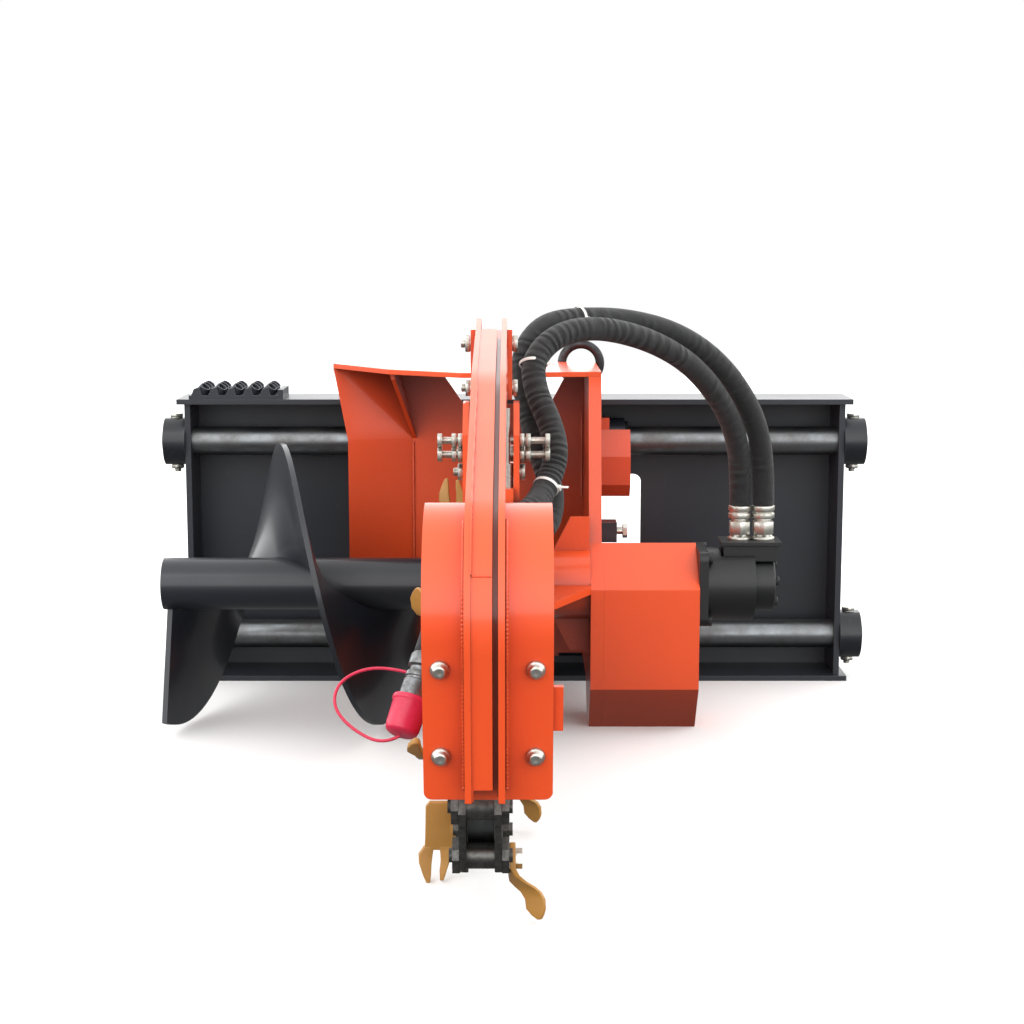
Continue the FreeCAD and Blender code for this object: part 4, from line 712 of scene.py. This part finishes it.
def makeMotorBolts():
    spec = motorFace
    places = [((spec["x"], spec["y"] + a * spec["reach"], spec["z"] + b * spec["reach"]), (1, 0, 0))
              for a in (-1, 1) for b in (-1, 1)]
    head = joined("flangeBolt", [washerPart(0.0088, 0, washerThickness),
                                 hexPart(m10Flats, washerThickness, 0.0065)])
    placeCopies(head, places, motorEnamel, "carriage", "motor_bolts")
    places = []
    for i in range(5):
        angle = math.radians(90 + 72 * i)
        places.append(((spec["coverEnd"], spec["y"] + spec["circle"] * math.cos(angle),
                        spec["z"] + spec["circle"] * math.sin(angle)), (1, 0, 0)))
    head = joined("coverBolt", [washerPart(0.0068, 0, 0.001), hexPart(m8Flats, 0.001, 0.006)])
    placeCopies(head, places, motorEnamel, "carriage", "motor_bolts")


makeMotorBolts()

portFittings = {"places": ((390, -414, 301), (353, -414, 301)), "nutFlats": 0.031, "nutBase": 0.009,
                "nutTop": 0.0295}


def makePortFittings():
    # flanged foot, hex nut, and a swaged shell with two raised bands
    shell = [(0.034, 0.0158), (0.0348, 0.0178), (0.0424, 0.0178), (0.0432, 0.0160), (0.0456, 0.0160),
             (0.0464, 0.0178), (0.0540, 0.0178), (0.0548, 0.0160), (0.0558, 0.0156)]
    for i, place in enumerate(portFittings["places"]):
        seat = alongAxis([c * mm for c in place], (0, 0, 1))
        foot = turnedPiece("foot", [(0, 0.0182), (0.0038, 0.0182), (0.0062, 0.0150), (0.0080, 0.0136),
                                    (0.0092, 0.0134)])
        neck = turnedPiece("neck", [(0.0290, 0.0128), (0.0340, 0.0128)])
        nut = hexPart(portFittings["nutFlats"], portFittings["nutBase"], portFittings["nutTop"])
        adapter = joined("portAdapter" + str(i + 1), [foot, nut, neck])
        settle(adapter, seat, zincPlate, "carriage")
        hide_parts("port_adapters")
        ferrule = turnedPiece("hoseFerrule" + str(i + 1), shell, segments=48)
        settle(ferrule, seat, zincPlate, "carriage")
        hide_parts("hose_ferrules")


makePortFittings()

# Punched cups of the step tread: rows of raised rings that stand on the tread's teeth
treadCups = {"first": -536, "pitch": 28.7, "columns": 5, "rows": (-100, -72, -44), "height": 511,
             "lean": (0.55, -0.35, 0.8), "outer": 0.0095, "inner": 0.0062, "rise": 0.007}


def makeTreadCups():
    spec = treadCups
    outer, inner, rise = spec["outer"], spec["inner"], spec["rise"]
    cup = turnedPiece("treadCup", [(-rise, outer * 1.25), (rise * 0.6, outer), (rise, outer * 0.93),
                                   (rise, inner * 1.1), (rise * 0.7, inner), (-rise * 0.6, inner * 0.8)],
                      segments=28, edgeRound=0)
    places = [((spec["first"] + spec["pitch"] * i, y, spec["height"]), spec["lean"])
              for i in range(spec["columns"]) for y in spec["rows"]]
    placeCopies(cup, places, frameEnamel, "coupler_frame")


makeTreadCups()
print("fasteners, fittings and tread made")

# Teeth: bent plates on every second link, drawn in the link's own frame in mm
# x goes sideways, y along the link from its middle, z outwards; the boom's droop is that of the CAD
chain = {"origin": (-40, -414, 230), "droop": 4.468813764521473, "pitch": 76.2, "radius": 99.56, "run": 11}
toothPlate = {"thickness": 7.0, "edge": 0.0011}
# each section across the plate: (x, y, z, width, turn of the width away from the link, in degrees)
toothBlades = {
    "chisel": [(35.6, 0, -14, 36, 0), (35.6, 0, -7, 42, 0), (35.6, 0, 15, 43, 0), (37.2, -1, 23, 38, 10),
               (42, -3, 30, 32, 28), (50, -5, 36, 28, 48), (57, -7, 42, 25, 60), (61.5, -8, 50, 23.5, 66),
               (62.5, -9, 61, 22.5, 67), (64.5, -10, 68, 14, 67), (66.5, -11, 73, 3.5, 67)],
    "wide": [(35.6, 0, -14, 36, 0), (35.6, 0, -7, 42, 0), (35.6, 0, 15, 43, 0), (38.5, -1, 21, 38, 12),
             (47, -3, 26, 32, 30), (59, -5, 31, 28, 50), (70, -7, 37, 25, 62), (76.5, -8, 46, 23.5, 66),
             (78.5, -9, 59, 22.5, 67), (79.5, -10, 67, 14, 67), (80.5, -11, 73, 3.5, 67)],
}
forkBlade = {"foot": [(35.6, 0, -14, 36, 0), (35.6, 0, -7, 42, 0), (35.6, 0, 12, 43, 0),
                      (35.6, 0, 20, 40, 0)],
             "web": [(50, 17, -27, 30, 90), (51, 17, -21, 37, 90), (51.5, 17.5, 20, 38, 90),
                     (52, 19, 34, 39, 90)],
             "outer": [(66, 18.6, 30, 12, 84), (70, 21, 39, 17, 78), (70.5, 24, 50, 15, 78),
                       (68.5, 28, 63, 10, 80), (67, 30, 72, 4.5, 82)],
             "inner": [(43, 18.6, 30, 20, 90), (43.5, 20, 38, 17, 96), (46, 22, 48, 11, 98),
                       (48.5, 25, 59, 8.5, 98), (50, 28, 70, 4.5, 98)]}


def turnSelection(angle, centre):
    # this operator counts a clockwise turn about +Z as positive
    bpy.ops.transform.rotate(value=-math.radians(angle), orient_axis="Z", orient_type="GLOBAL",
                             center_override=centre)


def bentPlate(name, sections):
    # a flat bar grown section by section: moved on, its width turned and drawn in
    x, y, z, width, turn = sections[0]
    thick = toothPlate["thickness"]
    deselectAll()
    bpy.ops.mesh.primitive_plane_add(size=1)
    blade = bpy.context.active_object
    blade.name = name
    seat = Matrix.Translation(Vector((x, y, z)) * mm) @ Matrix.Rotation(math.radians(-turn), 4, "Z")
    blade.data.transform(seat @ Matrix.Diagonal((thick * mm, width * mm, 1, 1)))
    bpy.ops.object.mode_set(mode="EDIT")
    bpy.ops.mesh.select_all(action="SELECT")
    for last, now in zip(sections, sections[1:]):
        step = [(b - a) * mm for a, b in zip(last[:3], now[:3])]
        centre = tuple(c * mm for c in now[:3])
        bpy.ops.mesh.extrude_region_move(TRANSFORM_OT_translate={"value": step})
        turnSelection(last[4], centre)
        bpy.ops.transform.resize(value=(1, now[3] / last[3], 1), center_override=centre)
        turnSelection(-now[4], centre)
    bpy.ops.mesh.select_all(action="SELECT")
    bpy.ops.mesh.normals_make_consistent(inside=False)
    bpy.ops.object.mode_set(mode="OBJECT")
    roundEdges(blade, toothPlate["edge"], segments=3, minAngle=50)
    return blade


def chainPins():
    pitch, radius, run = chain["pitch"], chain["radius"], chain["run"]
    length = pitch * run
    pins = [(-pitch * i, radius) for i in range(run + 1)]
    for i in (1, 2, 3):
        angle = math.radians(90 - 45 * i)
        pins.append((-length - radius * math.cos(angle), radius * math.sin(angle)))
    pins += [(-pitch * (run - i), -radius) for i in range(run + 1)]
    for i in (1, 2, 3):
        angle = math.radians(-90 + 45 * i)
        pins.append((radius * math.cos(angle), radius * math.sin(angle)))
    return pins


def linkPlace(pins, index):
    (y0, z0), (y1, z1) = pins[index], pins[(index + 1) % len(pins)]
    lean = Matrix.Rotation(math.radians(chain["droop"]), 4, "X")
    boom = Matrix.Translation(Vector(chain["origin"]) * mm) @ lean
    along = Matrix.Rotation(math.atan2(z0 - z1, y0 - y1), 4, "X")
    return boom @ Matrix.Translation(Vector((0, y0, z0)) * mm) @ along


def makeTeeth():
    fork = [bentPlate("forkPart", forkBlade[key]) for key in ("foot", "web", "outer", "inner")]
    models = {kind: bentPlate(kind + "Tooth", sections) for kind, sections in toothBlades.items()}
    models["fork"] = joined("forkTooth", fork)
    pins = chainPins()
    for index in range(0, len(pins), 2):
        right = (index // 2) % 2 == 1
        # on the left, wide teeth on two links and forks on the others, so that a fork stands at the nose
        kind = "chisel" if right else ("wide" if index % 16 == 8 else "fork")
        tooth = bpy.data.objects.new(kind + "Tooth" + str(index // 2 + 1), models[kind].data.copy())
        bpy.context.scene.collection.objects.link(tooth)
        tooth.data.transform(Matrix.Translation((0, -chain["pitch"] / 2 * mm, 0)))
        if not right:
            tooth.data.transform(Matrix.Diagonal((-1, 1, 1, 1)))
            tooth.data.flip_normals()
        settle(tooth, linkPlace(pins, index), toothEnamel, "carriage", smoothAngle=40)
        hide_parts("digging_teeth")
    for model in models.values():
        bpy.data.objects.remove(model)


makeTeeth()
print("teeth made")

# Weld beads, laid on the CAD surfaces by looking straight at them from the front
weld = {"step": 0.003, "ripple": 0.28, "pitch": 0.0045}


def surfacePoint(node, x, z):
    hit, place, normal, index = nodes[node].ray_cast(Vector((x * mm, -3.0, z * mm)), Vector((0, 1, 0)))
    return place if hit else None


def weldBead(name, points, width, body):
    data = bpy.data.curves.new(name, "CURVE")
    data.dimensions = "3D"
    data.bevel_depth = width / 2
    data.bevel_resolution = 2
    spline = data.splines.new("POLY")
    spline.points.add(len(points) - 1)
    travelled = 0.0
    for i, (point, place) in enumerate(zip(spline.points, points)):
        if i:
            travelled += (place - points[i - 1]).length
        point.co = (*place, 1)
        point.radius = 1 + weld["ripple"] * math.sin(2 * math.pi * travelled / weld["pitch"])
    bead = bpy.data.objects.new(name, data)
    bpy.context.scene.collection.objects.link(bead)
    makeActive(bead)
    bpy.ops.object.convert(target="MESH")
    settle(bpy.context.active_object, Matrix.Identity(4), orangeCoat, body, smoothAngle=60)


def weldOn(name, node, start, end, width, body):
    # start and end are (x, z) in mm seen from the front
    length = math.hypot(end[0] - start[0], end[1] - start[1]) * mm
    count = max(2, int(length / (weld["step"] * 0.5)))
    points = []
    for i in range(count + 1):
        share = i / count
        x = start[0] + (end[0] - start[0]) * share
        z = start[1] + (end[1] - start[1]) * share
        place = surfacePoint(node, x, z)
        if place is not None:
            points.append(place)
    if len(points) > 2:
        weldBead(name, points, width, body)
    else:
        print("no surface under", name)


weldOn("shoeWeldLeft", "crumber_shoe", (-55.5, 484), (-55.5, 204), 0.0042, "crumber")
weldOn("shoeWeldRight", "crumber_shoe", (-10.5, 484), (-10.5, 204), 0.0042, "crumber")
weldOn("coverWeld", "crumber_arm", (-47, 600), (-47, 440), 0.0022, "crumber")
weldOn("coverEndWeld", "crumber_arm", (-46, 438), (-26, 438), 0.0026, "crumber")
weldOn("backPlateWeld", "carriage_back_plate", (-174, 424), (-174, 156), 0.005, "carriage")
weldOn("sidePlateWeld", "carriage_back_plate", (115, 480), (115, 330), 0.005, "carriage")
print("welds laid")
